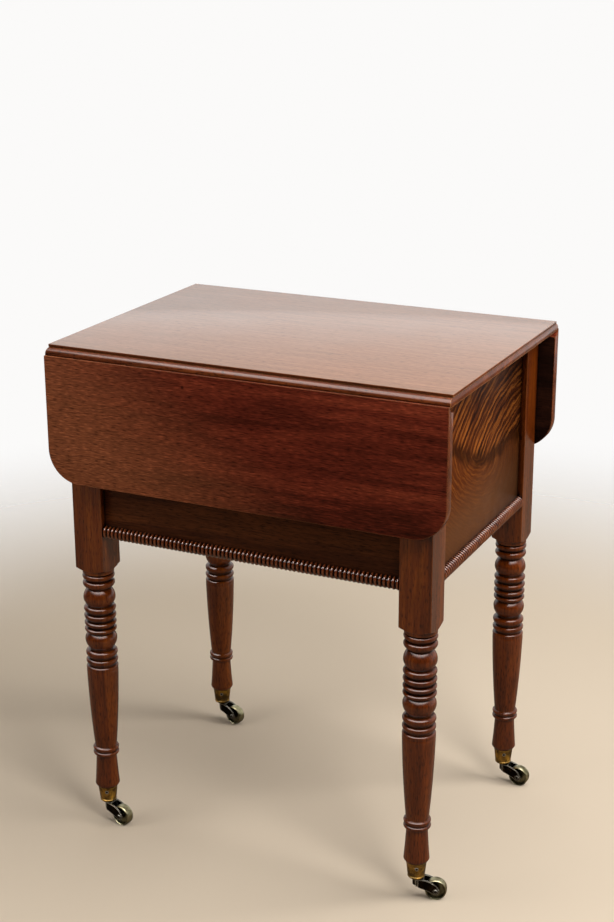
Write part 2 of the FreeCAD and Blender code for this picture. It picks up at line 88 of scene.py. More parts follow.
def add_node(
    tree: bpy.types.NodeTree,
    kind: str,
    sockets: Optional[dict] = None,
    stops: Sequence[tuple[float, str]] = (),
    **settings: object,
) -> bpy.types.Node:
    """Add a node, set its properties and fill or link its inputs.

    Args:
        tree: The material's or world's node tree.
        kind: Blender's name for the type of node.
        sockets: Input name or number, with a value or an output to link from.
        stops: Places and hex colours of a colour ramp.
        **settings: Properties of the node itself.

    Returns:
        The new node.
    """
    node = tree.nodes.new(kind)
    for name, value in settings.items():
        setattr(node, name, value)
    for name, value in (sockets or {}).items():
        if isinstance(value, Socket):
            tree.links.new(value, node.inputs[name])
        else:
            node.inputs[name].default_value = value
    for place, (position, colour) in enumerate(stops):
        elements = node.color_ramp.elements
        stop = elements[place] if place < len(elements) else elements.new(position)
        stop.position = position
        stop.color = linear(colour)
    return node


def start_material(name: str) -> tuple[bpy.types.Material, bpy.types.NodeTree]:
    """Make a material that has no nodes yet.

    Args:
        name: The material's name.

    Returns:
        The material and its node tree.
    """
    material = bpy.data.materials.new(name)
    material.use_nodes = True
    material.node_tree.nodes.clear()
    return material, material.node_tree


class Grain(Enum):
    """The axis that a board's fibres follow."""

    ALONG_X = 0
    ALONG_Z = 2

    def scale(self, length: float, width: float) -> Point:
        """Pattern scale for streaks of a real size.

        Args:
            length: Length of a streak along the fibres, in millimetres.
            width: Width of a streak, in millimetres.

        Returns:
            Repeats per metre on each axis.
        """
        steps = [1 / (width * MM)] * 3
        steps[self.value] = 1 / (length * MM)
        return (steps[0], steps[1], steps[2])


def rubbed_and_highlit_edges(tree: bpy.types.NodeTree, reach: float, most: float) -> Socket:
    """Share of a surface along its edges that is painted paler: gone bare under hands and
    dusters, and on some finishes a painted highlight.

    Args:
        tree: The material's node tree.
        reach: How far the paling goes in from an edge, in millimetres.
        most: The greatest share.

    Returns:
        A value from 0 to the greatest share.
    """
    soft = add_node(tree, "ShaderNodeBevel", {"Radius": reach * MM}, samples=EDGE_SAMPLES)
    flat = add_node(tree, "ShaderNodeNewGeometry")
    along = add_node(tree, "ShaderNodeVectorMath", {
        0: soft.outputs["Normal"], 1: flat.outputs["Normal"],
    }, operation="DOT_PRODUCT")
    start, full = EDGE_COSINES
    return add_node(tree, "ShaderNodeMapRange", {
        "Value": along.outputs["Value"], "From Min": start, "From Max": full,
        "To Min": 0.0, "To Max": most,
    }).outputs["Result"]


def recess_dirt_and_shade(
    tree: bpy.types.NodeTree, colour: Socket, reach: float, most: float
) -> Socket:
    """Darken a colour in the recesses: old wax and dust, and painted shade.

    Args:
        tree: The material's node tree.
        colour: Colour of the clean surface.
        reach: How far the darkening reaches from a corner, in millimetres.
        most: The greatest share of light that dirt and painted shade take.

    Returns:
        The darkened colour.
    """
    sky = add_node(
        tree, "ShaderNodeAmbientOcclusion", {"Distance": reach * MM}, samples=RECESS_SAMPLES,
    ).outputs["AO"]
    # The darkest sky gets the most darkening: dirt and painted shade.
    darkest_sky, clean = RECESS_SKY
    kept = add_node(tree, "ShaderNodeMapRange", {
        "Value": sky, "From Min": darkest_sky, "From Max": clean,
        "To Min": 1.0 - most, "To Max": 1.0,
    }).outputs["Result"]
    return add_node(tree, "ShaderNodeVectorMath", {
        0: colour, "Scale": kept,
    }, operation="SCALE").outputs["Vector"]


class FadeAndLight(Enum):
    """Where a board is painted paler.

    On the top's upper face this is partly a light-fade of many years and partly a painted
    reflection of the bright wall; on the leaves it is painted light falling from the left.
    Each value is a direction, and how far along it the paling starts and is full.
    """

    NOWHERE = None
    UPPER_FACE = ((0.0, 0.0, 1.0), 0.80, 0.97)      # shares of a face's normal
    LEFT_AND_LOW = ((1.0, 0.0, 1.1), 0.74, 0.36)    # metres in the table's frame


@dataclass(frozen=True)
class PolishedWood:
    """A board or turning of mahogany under shellac and wax, or of plain lining wood.

    Fibres give fine long streaks and short dark pores, growth gives broad soft bands, and
    the polish gives a clear gloss that hazes in patches. Recesses are painted darker: wax and
    dust, and painted shade. Edges are painted paler: wearing, and on some finishes a painted
    highlight. Some boards are painted paler on one side: light-fade, and painted light.
    """

    name: str
    dark: str
    middle: str
    pale: str
    grain: Grain
    fade_and_light: FadeAndLight = FadeAndLight.NOWHERE
    faded_and_lit: str = "#9A6A50"
    paled_share: float = 0.9         # share of the colour given over to the paler colour where the paling is full
    worn_and_lit: str = "#9A5C34"
    wear_and_highlight: float = 0.0             # share of the colour painted paler at the edges: wearing, and a painted highlight
    wear_and_highlight_reach: float = 1.3
    grime_and_shade: float = 0.75           # share of the light that dirt and painted shade take in the recesses
    grime_and_shade_reach: float = 5.0
    band_length: float = 420.0
    band_width: float = 26.0
    fibre_length: float = 46.0
    fibre_width: float = 2.2      # finer in life, but then too fine to show
    fibre_depth: float = 0.26
    pore_length: float = 9.0
    pore_width: float = 1.3       # finer in life, but then too fine to show
    pore_span: Span = (0.27, 0.40)      # noise in the middle of a dark pore, and at its rim
    pore_shade: float = 0.5
    fleck_span: Span = (0.58, 0.72)     # noise at the rim of a bright fleck, and in its middle
    fleck_light: float = 1.15
    haze_size: float = 130.0
    gloss: float = 0.34           # roughness where the polish is clear
    haze: float = 0.16            # what the haze adds to it
    specular: float = 0.05
    coat: float = 0.25
    coat_roughness: float = 0.12
    relief: float = 0.05
    knot: Optional[Point] = None
    knot_radius: float = 3.0
    knot_core: float = 0.4        # share of the radius that is darkest
    knot_shade: float = 0.3

    def build(self) -> bpy.types.Material:
        """Make the material.

        Returns:
            The finished material.
        """
        material, tree = start_material(self.name)
        place = add_node(tree, "ShaderNodeTexCoord").outputs["Object"]
        fibre = self.streaks(
            tree, place, self.fibre_length, self.fibre_width, detail=2.0, bend=0.3,
        )
        pore = self.streaks(tree, place, self.pore_length, self.pore_width)
        patch = add_node(tree, "ShaderNodeTexNoise", {
            "Vector": place, "Scale": 1 / (self.haze_size * MM), "Detail": 2.0,
        }).outputs["Fac"]
        colour = self.tone(tree, place, fibre, pore)
        if self.knot:
            colour = self.pin_knot(tree, place, colour)
        # Edges painted paler: wearing by hands, and on some finishes a painted highlight.
        if self.wear_and_highlight:
            colour = add_node(tree, "ShaderNodeMix", {
                "Factor": rubbed_and_highlit_edges(tree, self.wear_and_highlight_reach, self.wear_and_highlight),
                "A": colour, "B": linear(self.worn_and_lit),
            }, data_type="RGBA").outputs["Result"]
        clear, hazed = NOISE_SPAN
        rough = add_node(tree, "ShaderNodeMapRange", {
            "Value": patch, "From Min": clear, "From Max": hazed,
            "To Min": self.gloss, "To Max": self.gloss + self.haze,
        }).outputs["Result"]
        height = add_node(tree, "ShaderNodeMath", {0: fibre, 1: pore}, operation="ADD")
        bump = add_node(tree, "ShaderNodeBump", {
            "Height": height.outputs[0], "Strength": 0.35, "Distance": self.relief * MM,
        })
        # Recesses painted darker: dirt, and painted shade.
        shader = add_node(tree, "ShaderNodeBsdfPrincipled", {
            "Base Color": recess_dirt_and_shade(tree, colour, self.grime_and_shade_reach, self.grime_and_shade),
            "Roughness": rough, "Normal": bump.outputs["Normal"],
            "IOR": POLISH_IOR, "Specular IOR Level": self.specular,
            "Coat Weight": self.coat, "Coat Roughness": self.coat_roughness,
        })
        add_node(tree, "ShaderNodeOutputMaterial", {"Surface": shader.outputs[0]})
        return material

    def streaks(
        self, tree: bpy.types.NodeTree, place: Socket,
        length: float, width: float, detail: float = 0.0, bend: float = 0.0,
    ) -> Socket:
        """Noise drawn out along the fibres.

        Args:
            tree: The material's node tree.
            place: Coordinates in the table's frame.
            length: Length of a streak in millimetres.
            width: Width of a streak in millimetres.
            detail: How many finer layers lie over the first.
            bend: How far the streaks wander.

        Returns:
            A value from 0 to 1.
        """
        drawn = add_node(tree, "ShaderNodeMapping", {
            "Vector": place, "Scale": self.grain.scale(length, width),
        })
        return add_node(tree, "ShaderNodeTexNoise", {
            "Vector": drawn.outputs["Vector"], "Scale": 1.0,
            "Detail": detail, "Roughness": 0.55, "Distortion": bend,
        }).outputs["Fac"]

    def tone(self, tree: bpy.types.NodeTree, place: Socket, fibre: Socket, pore: Socket) -> Socket:
        """Colour of the wood from its bands, fibres and pores.

        Args:
            tree: The material's node tree.
            place: Coordinates in the table's frame.
            fibre: Fine streaks.
            pore: Short streaks of the open pores.

        Returns:
            The colour.
        """
        band = self.streaks(tree, place, self.band_length, self.band_width, detail=3.0, bend=0.9)
        low, high = NOISE_SPAN
        base = add_node(
            tree, "ShaderNodeValToRGB", {"Fac": band},
            stops=((low, self.dark), (high, self.pale), ((low + high) / 2, self.middle)),
        ).outputs["Color"]
        # Paler along the finish's direction: light-fade, and painted light and reflection.
        if self.fade_and_light is not FadeAndLight.NOWHERE:
            base = add_node(tree, "ShaderNodeMix", {
                "Factor": self.paling_share(tree, place), "A": base, "B": linear(self.faded_and_lit),
            }, data_type="RGBA").outputs["Result"]
        shade = add_node(tree, "ShaderNodeMapRange", {
            "Value": fibre, "From Min": low, "From Max": high,
            "To Min": 1 - self.fibre_depth, "To Max": 1 + self.fibre_depth,
        }).outputs["Result"]
        speck = add_node(tree, "ShaderNodeMapRange", {
            "Value": pore, "From Min": self.pore_span[0], "From Max": self.pore_span[1],
            "To Min": self.pore_shade, "To Max": 1.0,
        }).outputs["Result"]
        fleck = add_node(tree, "ShaderNodeMapRange", {
            "Value": pore, "From Min": self.fleck_span[0], "From Max": self.fleck_span[1],
            "To Min": 1.0, "To Max": self.fleck_light,
        }).outputs["Result"]
        grain = add_node(tree, "ShaderNodeMath", {0: speck, 1: fleck}, operation="MULTIPLY")
        both = add_node(tree, "ShaderNodeMath", {
            0: shade, 1: grain.outputs[0],
        }, operation="MULTIPLY")
        return add_node(tree, "ShaderNodeVectorMath", {
            0: base, "Scale": both.outputs[0],
        }, operation="SCALE").outputs["Vector"]

    def pin_knot(self, tree: bpy.types.NodeTree, place: Socket, colour: Socket) -> Socket:
        """Darken the small round knot of a twig.

        Args:
            tree: The material's node tree.
            place: Coordinates in the table's frame.
            colour: Colour of the wood round it.

        Returns:
            The colour with the knot.
        """
        reach = add_node(tree, "ShaderNodeVectorMath", {
            0: place, 1: tuple(value * MM for value in self.knot),
        }, operation="DISTANCE").outputs["Value"]
        shade = add_node(tree, "ShaderNodeMapRange", {
            "Value": reach, "From Min": self.knot_radius * self.knot_core * MM,
            "From Max": self.knot_radius * MM, "To Min": self.knot_shade, "To Max": 1.0,
        }).outputs["Result"]
        return add_node(tree, "ShaderNodeVectorMath", {
            0: colour, "Scale": shade,
        }, operation="SCALE").outputs["Vector"]

    def paling_share(self, tree: bpy.types.NodeTree, place: Socket) -> Socket:
        """Share of its colour that is painted paler: light-fade, and painted light and reflection.

        Args:
            tree: The material's node tree.
            place: Coordinates in the table's frame.

        Returns:
            A value from 0 to the finish's share.
        """
        direction, start, full = self.fade_and_light.value
        source = place
        if self.fade_and_light is FadeAndLight.UPPER_FACE:
            source = add_node(tree, "ShaderNodeNewGeometry").outputs["Normal"]
        along = add_node(tree, "ShaderNodeVectorMath", {
            0: source, 1: direction,
        }, operation="DOT_PRODUCT").outputs["Value"]
        return add_node(tree, "ShaderNodeMapRange", {
            "Value": along, "From Min": start, "From Max": full,
            "To Min": 0.0, "To Max": self.paled_share,
        }, interpolation_type="SMOOTHSTEP").outputs["Result"]


@dataclass(frozen=True)
class GrowthRings:
    """Growth rings round one eye of a veneer, drawn out sideways and slanted."""

    eye: tuple[float, float]      # along Y and up, in millimetres
    flat: float                   # how much the rings are drawn out sideways
    slant: float
    width: float                  # of a streak across the rings, in millimetres
    length: float                 # of a streak along them
    pitch: float                  # from one line to the next
    line: float                   # how strongly the lines show
    detail: float = 4.5
    line_run: float = 2.0         # how far a line runs straight, in lengths of a streak

    def pattern(self, tree: bpy.types.NodeTree, across: Socket, height: Socket) -> Socket:
        """Streaks and lines that follow the rings.

        Args:
            tree: The material's node tree.
            across: Distance along Y in millimetres.
            height: Height in millimetres.

        Returns:
            A value from 0 to 1.
        """
        rise = add_node(tree, "ShaderNodeMath", {
            0: height, 1: self.eye[1],
        }, operation="SUBTRACT").outputs[0]
        side = add_node(tree, "ShaderNodeMath", {
            0: rise, 1: self.slant, 2: across,
        }, operation="MULTIPLY_ADD").outputs[0]
        drawn_in = add_node(tree, "ShaderNodeMath", {
            0: side, 1: self.flat, 2: -self.eye[0] * self.flat,
        }, operation="MULTIPLY_ADD").outputs[0]
        spot = add_node(tree, "ShaderNodeCombineXYZ", {"X": drawn_in, "Y": rise})
        reach = add_node(tree, "ShaderNodeVectorMath", {
            0: spot.outputs["Vector"],
        }, operation="LENGTH").outputs["Value"]
        line = add_node(tree, "ShaderNodeCombineXYZ", {"X": reach, "Y": across})
        drawn = add_node(tree, "ShaderNodeVectorMath", {
            0: line.outputs["Vector"], 1: (1 / self.width, 1 / self.length, 0.0),
        }, operation="MULTIPLY")
        streak = add_node(tree, "ShaderNodeTexNoise", {
            "Vector": drawn.outputs["Vector"], "Scale": 1.0,
            "Detail": self.detail, "Roughness": 0.62,
        }).outputs["Fac"]
        run = self.length * self.line_run
        spaced = add_node(tree, "ShaderNodeVectorMath", {
            0: line.outputs["Vector"], 1: (WAVE_PITCH / self.pitch, 1 / run, 0.0),
        }, operation="MULTIPLY")
        wave = add_node(tree, "ShaderNodeTexWave", {
            "Vector": spaced.outputs["Vector"], "Scale": 1.0, "Distortion": 5.0,
            "Detail": 2.0, "Detail Scale": 2.0, "Detail Roughness": 0.6,
        }, wave_type="BANDS", bands_direction="X").outputs["Fac"]
        shift = add_node(tree, "ShaderNodeMath", {
            0: streak, 1: self.line / 2,
        }, operation="SUBTRACT").outputs[0]
        return add_node(tree, "ShaderNodeMath", {
            0: wave, 1: self.line, 2: shift,
        }, operation="MULTIPLY_ADD").outputs[0]


@dataclass(frozen=True)
class FlameVeneer:
    """Mahogany crotch veneer, sawn where a branch leaves the trunk, glued down and polished.

    Above the crotch golden plumes bend out of a dark broken seam, below it the growth rings
    close round an eye and then run calm and greyer. The polish is thin and shines a little.
    """

    name: str
    dark: str = "#2E1207"
    middle: str = "#5E2C10"
    gold: str = "#A25C24"
    calm: str = "#6C462C"
    figure_span: Span = (0.34, 0.66)    # figure where the veneer is dark, and where golden
    plumes: GrowthRings = GrowthRings((240.0, 480.0), 0.6, 0.2, 6.0, 90.0, 8.5, 0.17)
    swirls: GrowthRings = GrowthRings((-20.0, 592.0), 0.8, 0.75, 4.0, 40.0, 6.5, 0.07)
    swirl_span: Span = (0.25, 0.75)
    swirl_tone: Span = (0.42, 0.60)     # what that becomes, because the rings show less
    stray: float = 11.0                 # how far a line wanders, in millimetres
    stray_size: float = 32.0
    seam_height: float = 576.5
    seam_climb: float = 0.42            # of the seam, left of the panel's middle
    seam_blend: Span = (-6.0, 3.0)      # above the seam, where rings give way to plumes
    torn_drop: float = 7.0              # of the torn fibres below the seam
    torn_stray: float = 40.0            # how far the noise breaks them
    torn_span: Span = (-16.0, -4.0)
    torn_shade: float = 0.4
    calm_span: Span = (565.0, 505.0)    # heights between which the veneer calms
    calm_share: float = 0.75
    top_span: Span = (20.0, 95.0)       # above the seam, where it darkens to the top
    top_shade: float = 0.42
    far_span: Span = (20.0, 150.0)      # along Y, where it darkens to the far side
    far_shade: float = 0.45
    gloss: Span = (0.30, 0.42)          # roughness of the clear and the hazed polish
    relief: float = 0.06
    # Recesses painted darker, far enough to paint the shadow under the top's overhang: dirt and
    # painted shadow.
    grime_and_shade: float = 0.85
    grime_and_shade_reach: float = 22.0
    specular: float = 0.02
    coat: float = 0.025
    coat_roughness: float = 0.2

    def build(self) -> bpy.types.Material:
        """Make the material.

        Returns:
            The finished material.
        """
        material, tree = start_material(self.name)
        place = add_node(tree, "ShaderNodeTexCoord").outputs["Object"]
        stray = add_node(tree, "ShaderNodeTexNoise", {
            "Vector": place, "Scale": 1 / (self.stray_size * MM), "Detail": 3.0, "Roughness": 0.6,
        })
        across, height = self.position(tree, place, stray.outputs["Color"])
        above = self.above_seam(tree, across, height)
        plume = self.plumes.pattern(tree, across, height)
        swirl = add_node(tree, "ShaderNodeMapRange", {
            "Value": self.swirls.pattern(tree, across, height),
            "From Min": self.swirl_span[0], "From Max": self.swirl_span[1],
            "To Min": self.swirl_tone[0], "To Max": self.swirl_tone[1],
        }).outputs["Result"]
        upper = add_node(tree, "ShaderNodeMapRange", {
            "Value": above, "From Min": self.seam_blend[0], "From Max": self.seam_blend[1],
        }).outputs["Result"]
        figure = add_node(tree, "ShaderNodeMix", {
            "Factor": upper, "A": swirl, "B": plume,
        }).outputs["Result"]
        colour = self.tone(tree, figure, across, above, height)
        colour = self.broken_seam(tree, colour, above, stray.outputs["Fac"])
        clear, hazed = NOISE_SPAN
        rough = add_node(tree, "ShaderNodeMapRange", {
            "Value": stray.outputs["Fac"], "From Min": clear, "From Max": hazed,
            "To Min": self.gloss[0], "To Max": self.gloss[1],
        }).outputs["Result"]
        bump = add_node(tree, "ShaderNodeBump", {
            "Height": figure, "Strength": 0.2, "Distance": self.relief * MM,
        })
        # Recesses and the panel's top under the overhang painted darker: dirt and painted shadow.
        shader = add_node(tree, "ShaderNodeBsdfPrincipled", {
            "Base Color": recess_dirt_and_shade(tree, colour, self.grime_and_shade_reach, self.grime_and_shade),
            "Roughness": rough, "Normal": bump.outputs["Normal"],
            "IOR": POLISH_IOR, "Specular IOR Level": self.specular,
            "Coat Weight": self.coat, "Coat Roughness": self.coat_roughness,
        })
        add_node(tree, "ShaderNodeOutputMaterial", {"Surface": shader.outputs[0]})
        return material

    def position(
        self, tree: bpy.types.NodeTree, place: Socket, stray: Socket
    ) -> tuple[Socket, Socket]:
        """Millimetres across and up the panel, shaken so that no line runs true.

        Args:
            tree: The material's node tree.
            place: Coordinates in the table's frame.
            stray: Coloured noise that moves the pattern.

        Returns:
            Distance along Y and height, in millimetres.
        """
        centred = add_node(tree, "ShaderNodeVectorMath", {
            0: stray, 1: (0.5, 0.5, 0.5),
        }, operation="SUBTRACT")
        shift = add_node(tree, "ShaderNodeVectorMath", {
            0: centred.outputs["Vector"], 1: (self.stray * MM,) * 3, 2: place,
        }, operation="MULTIPLY_ADD")
        scaled = add_node(tree, "ShaderNodeVectorMath", {
            0: shift.outputs["Vector"], "Scale": 1 / MM,
        }, operation="SCALE")
        parts = add_node(tree, "ShaderNodeSeparateXYZ", {0: scaled.outputs["Vector"]})
        return parts.outputs["Y"], parts.outputs["Z"]

    def above_seam(self, tree: bpy.types.NodeTree, across: Socket, height: Socket) -> Socket:
        """Millimetres above the seam where the branch parted.

        Args:
            tree: The material's node tree.
            across: Distance along Y in millimetres.
            height: Height in millimetres.

        Returns:
            The distance, negative below the seam.
        """
        left = add_node(tree, "ShaderNodeMath", {0: across, 1: 0.0}, operation="MINIMUM")
        level = add_node(tree, "ShaderNodeMath", {
            0: left.outputs[0], 1: self.seam_climb, 2: height,
        }, operation="MULTIPLY_ADD")
        return add_node(tree, "ShaderNodeMath", {
            0: level.outputs[0], 1: self.seam_height,
        }, operation="SUBTRACT").outputs[0]

    def tone(
        self, tree: bpy.types.NodeTree, figure: Socket, across: Socket,
        above: Socket, height: Socket,
    ) -> Socket:
        """Colour of the veneer: bright by the seam, darker to the top, calm below.

        Args:
            tree: The material's node tree.
            figure: Plumes and rings.
            across: Distance along Y in millimetres.
            above: Height above the seam in millimetres.
            height: Height above the floor in millimetres.

        Returns:
            The colour.
        """
        low, high = self.figure_span
        bright = add_node(
            tree, "ShaderNodeValToRGB", {"Fac": figure},
            stops=((low, self.dark), (high, self.gold), ((low + high) / 2, self.middle)),
        ).outputs["Color"]
        quiet = add_node(tree, "ShaderNodeMapRange", {
            "Value": height, "From Min": self.calm_span[0], "From Max": self.calm_span[1],
            "To Min": 0.0, "To Max": self.calm_share,
        }).outputs["Result"]
        calmed = add_node(tree, "ShaderNodeMix", {
            "Factor": quiet, "A": bright, "B": linear(self.calm),
        }, data_type="RGBA").outputs["Result"]
        top = add_node(tree, "ShaderNodeMapRange", {
            "Value": above, "From Min": self.top_span[0], "From Max": self.top_span[1],
            "To Min": 1.0, "To Max": self.top_shade,
        }).outputs["Result"]
        far = add_node(tree, "ShaderNodeMapRange", {
            "Value": across, "From Min": self.far_span[0], "From Max": self.far_span[1],
            "To Min": 1.0, "To Max": self.far_shade,
        }).outputs["Result"]
        both = add_node(tree, "ShaderNodeMath", {0: top, 1: far}, operation="MULTIPLY")
        return add_node(tree, "ShaderNodeVectorMath", {
            0: calmed, "Scale": both.outputs[0],
        }, operation="SCALE").outputs["Vector"]

    def broken_seam(
        self, tree: bpy.types.NodeTree, colour: Socket, above: Socket, stray: Socket
    ) -> Socket:
        """Darken the torn fibres along the seam.

        Args:
            tree: The material's node tree.
            colour: Colour of the veneer.
            above: Height above the seam in millimetres.
            stray: Noise that breaks the seam.

        Returns:
            The colour with the seam.
        """
        lowered = add_node(tree, "ShaderNodeMath", {
            0: above, 1: self.torn_drop,
        }, operation="ADD")
        near = add_node(tree, "ShaderNodeMath", {0: lowered.outputs[0]}, operation="ABSOLUTE")
        gap = add_node(tree, "ShaderNodeMath", {
            0: stray, 1: -self.torn_stray, 2: near.outputs[0],
        }, operation="MULTIPLY_ADD").outputs[0]
        seam = add_node(tree, "ShaderNodeMapRange", {
            "Value": gap, "From Min": self.torn_span[0], "From Max": self.torn_span[1],
            "To Min": self.torn_shade, "To Max": 1.0,
        }).outputs["Result"]
        return add_node(tree, "ShaderNodeVectorMath", {
            0: colour, "Scale": seam,
        }, operation="SCALE").outputs["Vector"]


@dataclass(frozen=True)
class AgedMetal:
    """Cast brass or wrought iron gone brown, its edges painted bright: bare metal and a painted
    highlight.
    """

    name: str
    bright: str
    tarnish: str
    spread: float                 # share of the surface that the tarnish covers
    blotch: float                 # size of a blotch
    blotch_edge: float = 0.10     # how softly a blotch ends, in values of its noise
    roughness: float = 0.34       # of the bright metal
    dulling: float = 0.2          # what the tarnish adds to it
    pitting: float = 0.9          # finer in life, but then too fine to show
    pit_depth: float = 0.1
    # Paler edges: bare metal, and on the horn a painted highlight.
    rubbed_and_lit: str = "#C8B68A"
    rub_and_highlight: float = 0.6
    rub_and_highlight_reach: float = 0.9
    # Recesses painted darker: dirt, and painted shade.
    grime_and_shade: float = 0.9
    grime_and_shade_reach: float = 3.0

    def build(self) -> bpy.types.Material:
        """Make the material.

        Returns:
            The finished material.
        """
        material, tree = start_material(self.name)
        place = add_node(tree, "ShaderNodeTexCoord").outputs["Object"]
        patch = add_node(tree, "ShaderNodeTexNoise", {
            "Vector": place, "Scale": 1 / (self.blotch * MM), "Detail": 4.0, "Roughness": 0.65,
        }).outputs["Fac"]
        pits = add_node(tree, "ShaderNodeTexNoise", {
            "Vector": place, "Scale": 1 / (self.pitting * MM), "Detail": 1.0,
        }).outputs["Fac"]
        low, high = NOISE_SPAN
        edge = low + (high - low) * self.spread
        cover = add_node(tree, "ShaderNodeMapRange", {
            "Value": patch,
            "From Min": edge + self.blotch_edge, "From Max": edge - self.blotch_edge,
        }).outputs["Result"]
        colour = add_node(tree, "ShaderNodeMix", {
            "Factor": cover, "A": linear(self.bright), "B": linear(self.tarnish),
        }, data_type="RGBA").outputs["Result"]
        # Edges painted paler: bare metal, and on the horn a painted highlight.
        colour = add_node(tree, "ShaderNodeMix", {
            "Factor": rubbed_and_highlit_edges(tree, self.rub_and_highlight_reach, self.rub_and_highlight),
            "A": colour, "B": linear(self.rubbed_and_lit),
        }, data_type="RGBA").outputs["Result"]
        rough = add_node(tree, "ShaderNodeMapRange", {
            "Value": cover, "To Min": self.roughness, "To Max": self.roughness + self.dulling,
        }).outputs["Result"]
        bump = add_node(tree, "ShaderNodeBump", {
            "Height": pits, "Strength": 0.3, "Distance": self.pit_depth * MM,
        })
        # Recesses painted darker: dirt, and painted shade.
        shader = add_node(tree, "ShaderNodeBsdfPrincipled", {
            "Base Color": recess_dirt_and_shade(tree, colour, self.grime_and_shade_reach, self.grime_and_shade),
            "Metallic": 1.0, "Roughness": rough, "Normal": bump.outputs["Normal"],
        })
        add_node(tree, "ShaderNodeOutputMaterial", {"Surface": shader.outputs[0]})
        return material


def finishes() -> dict[str, bpy.types.Material]:
    """Build every finish of the table.

    Returns:
        Materials by the record's slot names, and two more for single faces.
    """
    makers = {
        # The upper face is painted pale: partly a light-fade under a haze of wax, partly a painted
        # reflection of the bright wall that the polished top mirrors.
        "top_wood": PolishedWood(
            "mahogany_top_waxed", "#5C3420", "#74442E", "#8C5A40", Grain.ALONG_X,
            fade_and_light=FadeAndLight.UPPER_FACE, faded_and_lit="#A0775F", paled_share=0.8, worn_and_lit="#A86A40", wear_and_highlight=0.5,
            grime_and_shade_reach=3.0, band_width=14.0, fibre_length=110.0, fibre_depth=0.2,
            pore_shade=0.7, specular=0.5, coat=1.0, coat_roughness=0.2, gloss=0.32, haze=0.1,
        ),
        # The moulded edges keep the board's brown; arrises painted pale, from rubbing and as a
        # painted highlight; quirks painted black, as dirt and painted shade.
        "top_edge": PolishedWood(
            "mahogany_edge_polished", "#4A1F0B", "#6A3114", "#86441F", Grain.ALONG_X,
            worn_and_lit="#C88248", wear_and_highlight=0.85, wear_and_highlight_reach=1.6, grime_and_shade=0.97, grime_and_shade_reach=6.0,
            pore_shade=0.4, pore_length=6.0, coat=0.65,
        ),
        # Deep red leaves with golden flecks in the grain, painted paler and browner to the left
        # and lower down as light falling from the left; their arrises painted pale, from rubbing
        # and as a painted highlight.
        "leaf_wood": PolishedWood(
            "mahogany_leaf_polished", "#40170D", "#602416", "#7C3420", Grain.ALONG_X,
            fade_and_light=FadeAndLight.LEFT_AND_LOW, faded_and_lit="#9E5C3A", paled_share=0.78, worn_and_lit="#B07A4A", wear_and_highlight=0.8,
            wear_and_highlight_reach=2.2, grime_and_shade=0.6, grime_and_shade_reach=2.5, band_length=300.0, band_width=24.0,
            fibre_length=30.0, fleck_light=1.5, coat=0.06, knot=(-77.5, -215.5, 688.2),
        ),
        # The inner faces are unpolished and dull, and painted nearly black as the shade under the
        # table.
        "leaf_inside": PolishedWood(
            "mahogany_leaf_unpolished", "#170A06", "#22100A", "#2E170E", Grain.ALONG_X,
            gloss=0.6, coat=0.0,
        ),
        "panel_veneer": FlameVeneer("mahogany_crotch_veneer"),
        "frame_wood": PolishedWood(
            "mahogany_rail_polished", "#36180C", "#4A2512", "#603319", Grain.ALONG_X,
            coat=0.1,
        ),
        # Turned beads with glossy crests; grooves painted black, as old wax and painted shade.
        "moulding_wood": PolishedWood(
            "mahogany_bead_polished", "#5E280F", "#7A3A16", "#944E22", Grain.ALONG_X,
            grime_and_shade=0.99, grime_and_shade_reach=5.5, gloss=0.2, specular=0.5, coat=1.0, coat_roughness=0.12,
        ),
        # Grooves and inner corners painted dark, as old wax and painted shade.
        "leg_wood": PolishedWood(
            "mahogany_leg_polished", "#4C1D07", "#692D09", "#894310", Grain.ALONG_Z,
            worn_and_lit="#9A5624", wear_and_highlight=0.6, grime_and_shade=0.97, grime_and_shade_reach=11.0, coat=0.9,
            coat_roughness=0.18, fibre_length=60.0, fibre_width=2.6,
        ),
        "knob_wood": PolishedWood(
            "mahogany_knob_polished", "#481D0A", "#622C0D", "#7E4016", Grain.ALONG_X,
            coat=0.8, coat_roughness=0.08,
        ),
        # Bare pine inside, planed and gone brown with age: dull, with wide bands.
        "lining_wood": PolishedWood(
            "pine_lining_planed", "#8A6238", "#A87C4A", "#BE9560", Grain.ALONG_X,
            band_width=14.0, pore_length=20.0, gloss=0.6, haze=0.15, coat=0.0, relief=0.12,
        ),
        "hinge_iron": AgedMetal(
            "wrought_iron_hinge", "#5A5550", "#2E221A", spread=0.55, blotch=6.0, roughness=0.45,
            rubbed_and_lit="#8A857C", rub_and_highlight=0.4,
        ),
        "cup_brass": AgedMetal(
            "cast_brass_cup", "#D0A04C", "#6C5634", spread=0.55, blotch=12.0, rubbed_and_lit="#E0C074",
        ),
        # A dark horn whose pale edges are partly bare metal and partly a painted highlight.
        "horn_brass": AgedMetal(
            "cast_brass_horn", "#3A2E1E", "#140E09", spread=0.75, blotch=7.0, roughness=0.3,
            rubbed_and_lit="#D6D2C4", rub_and_highlight=0.9, rub_and_highlight_reach=2.6,
        ),
        # The wheel is turned hollow; its face is painted black inside an olive rim, as dirt and
        # painted shade in the hollow.
        "wheel_brass": AgedMetal(
            "turned_brass_wheel", "#B4AE8C", "#6A6448", spread=0.4, blotch=10.0, roughness=0.28,
            grime_and_shade=0.99, grime_and_shade_reach=9.0,
        ),
    }
    return {slot: maker.build() for slot, maker in makers.items()}


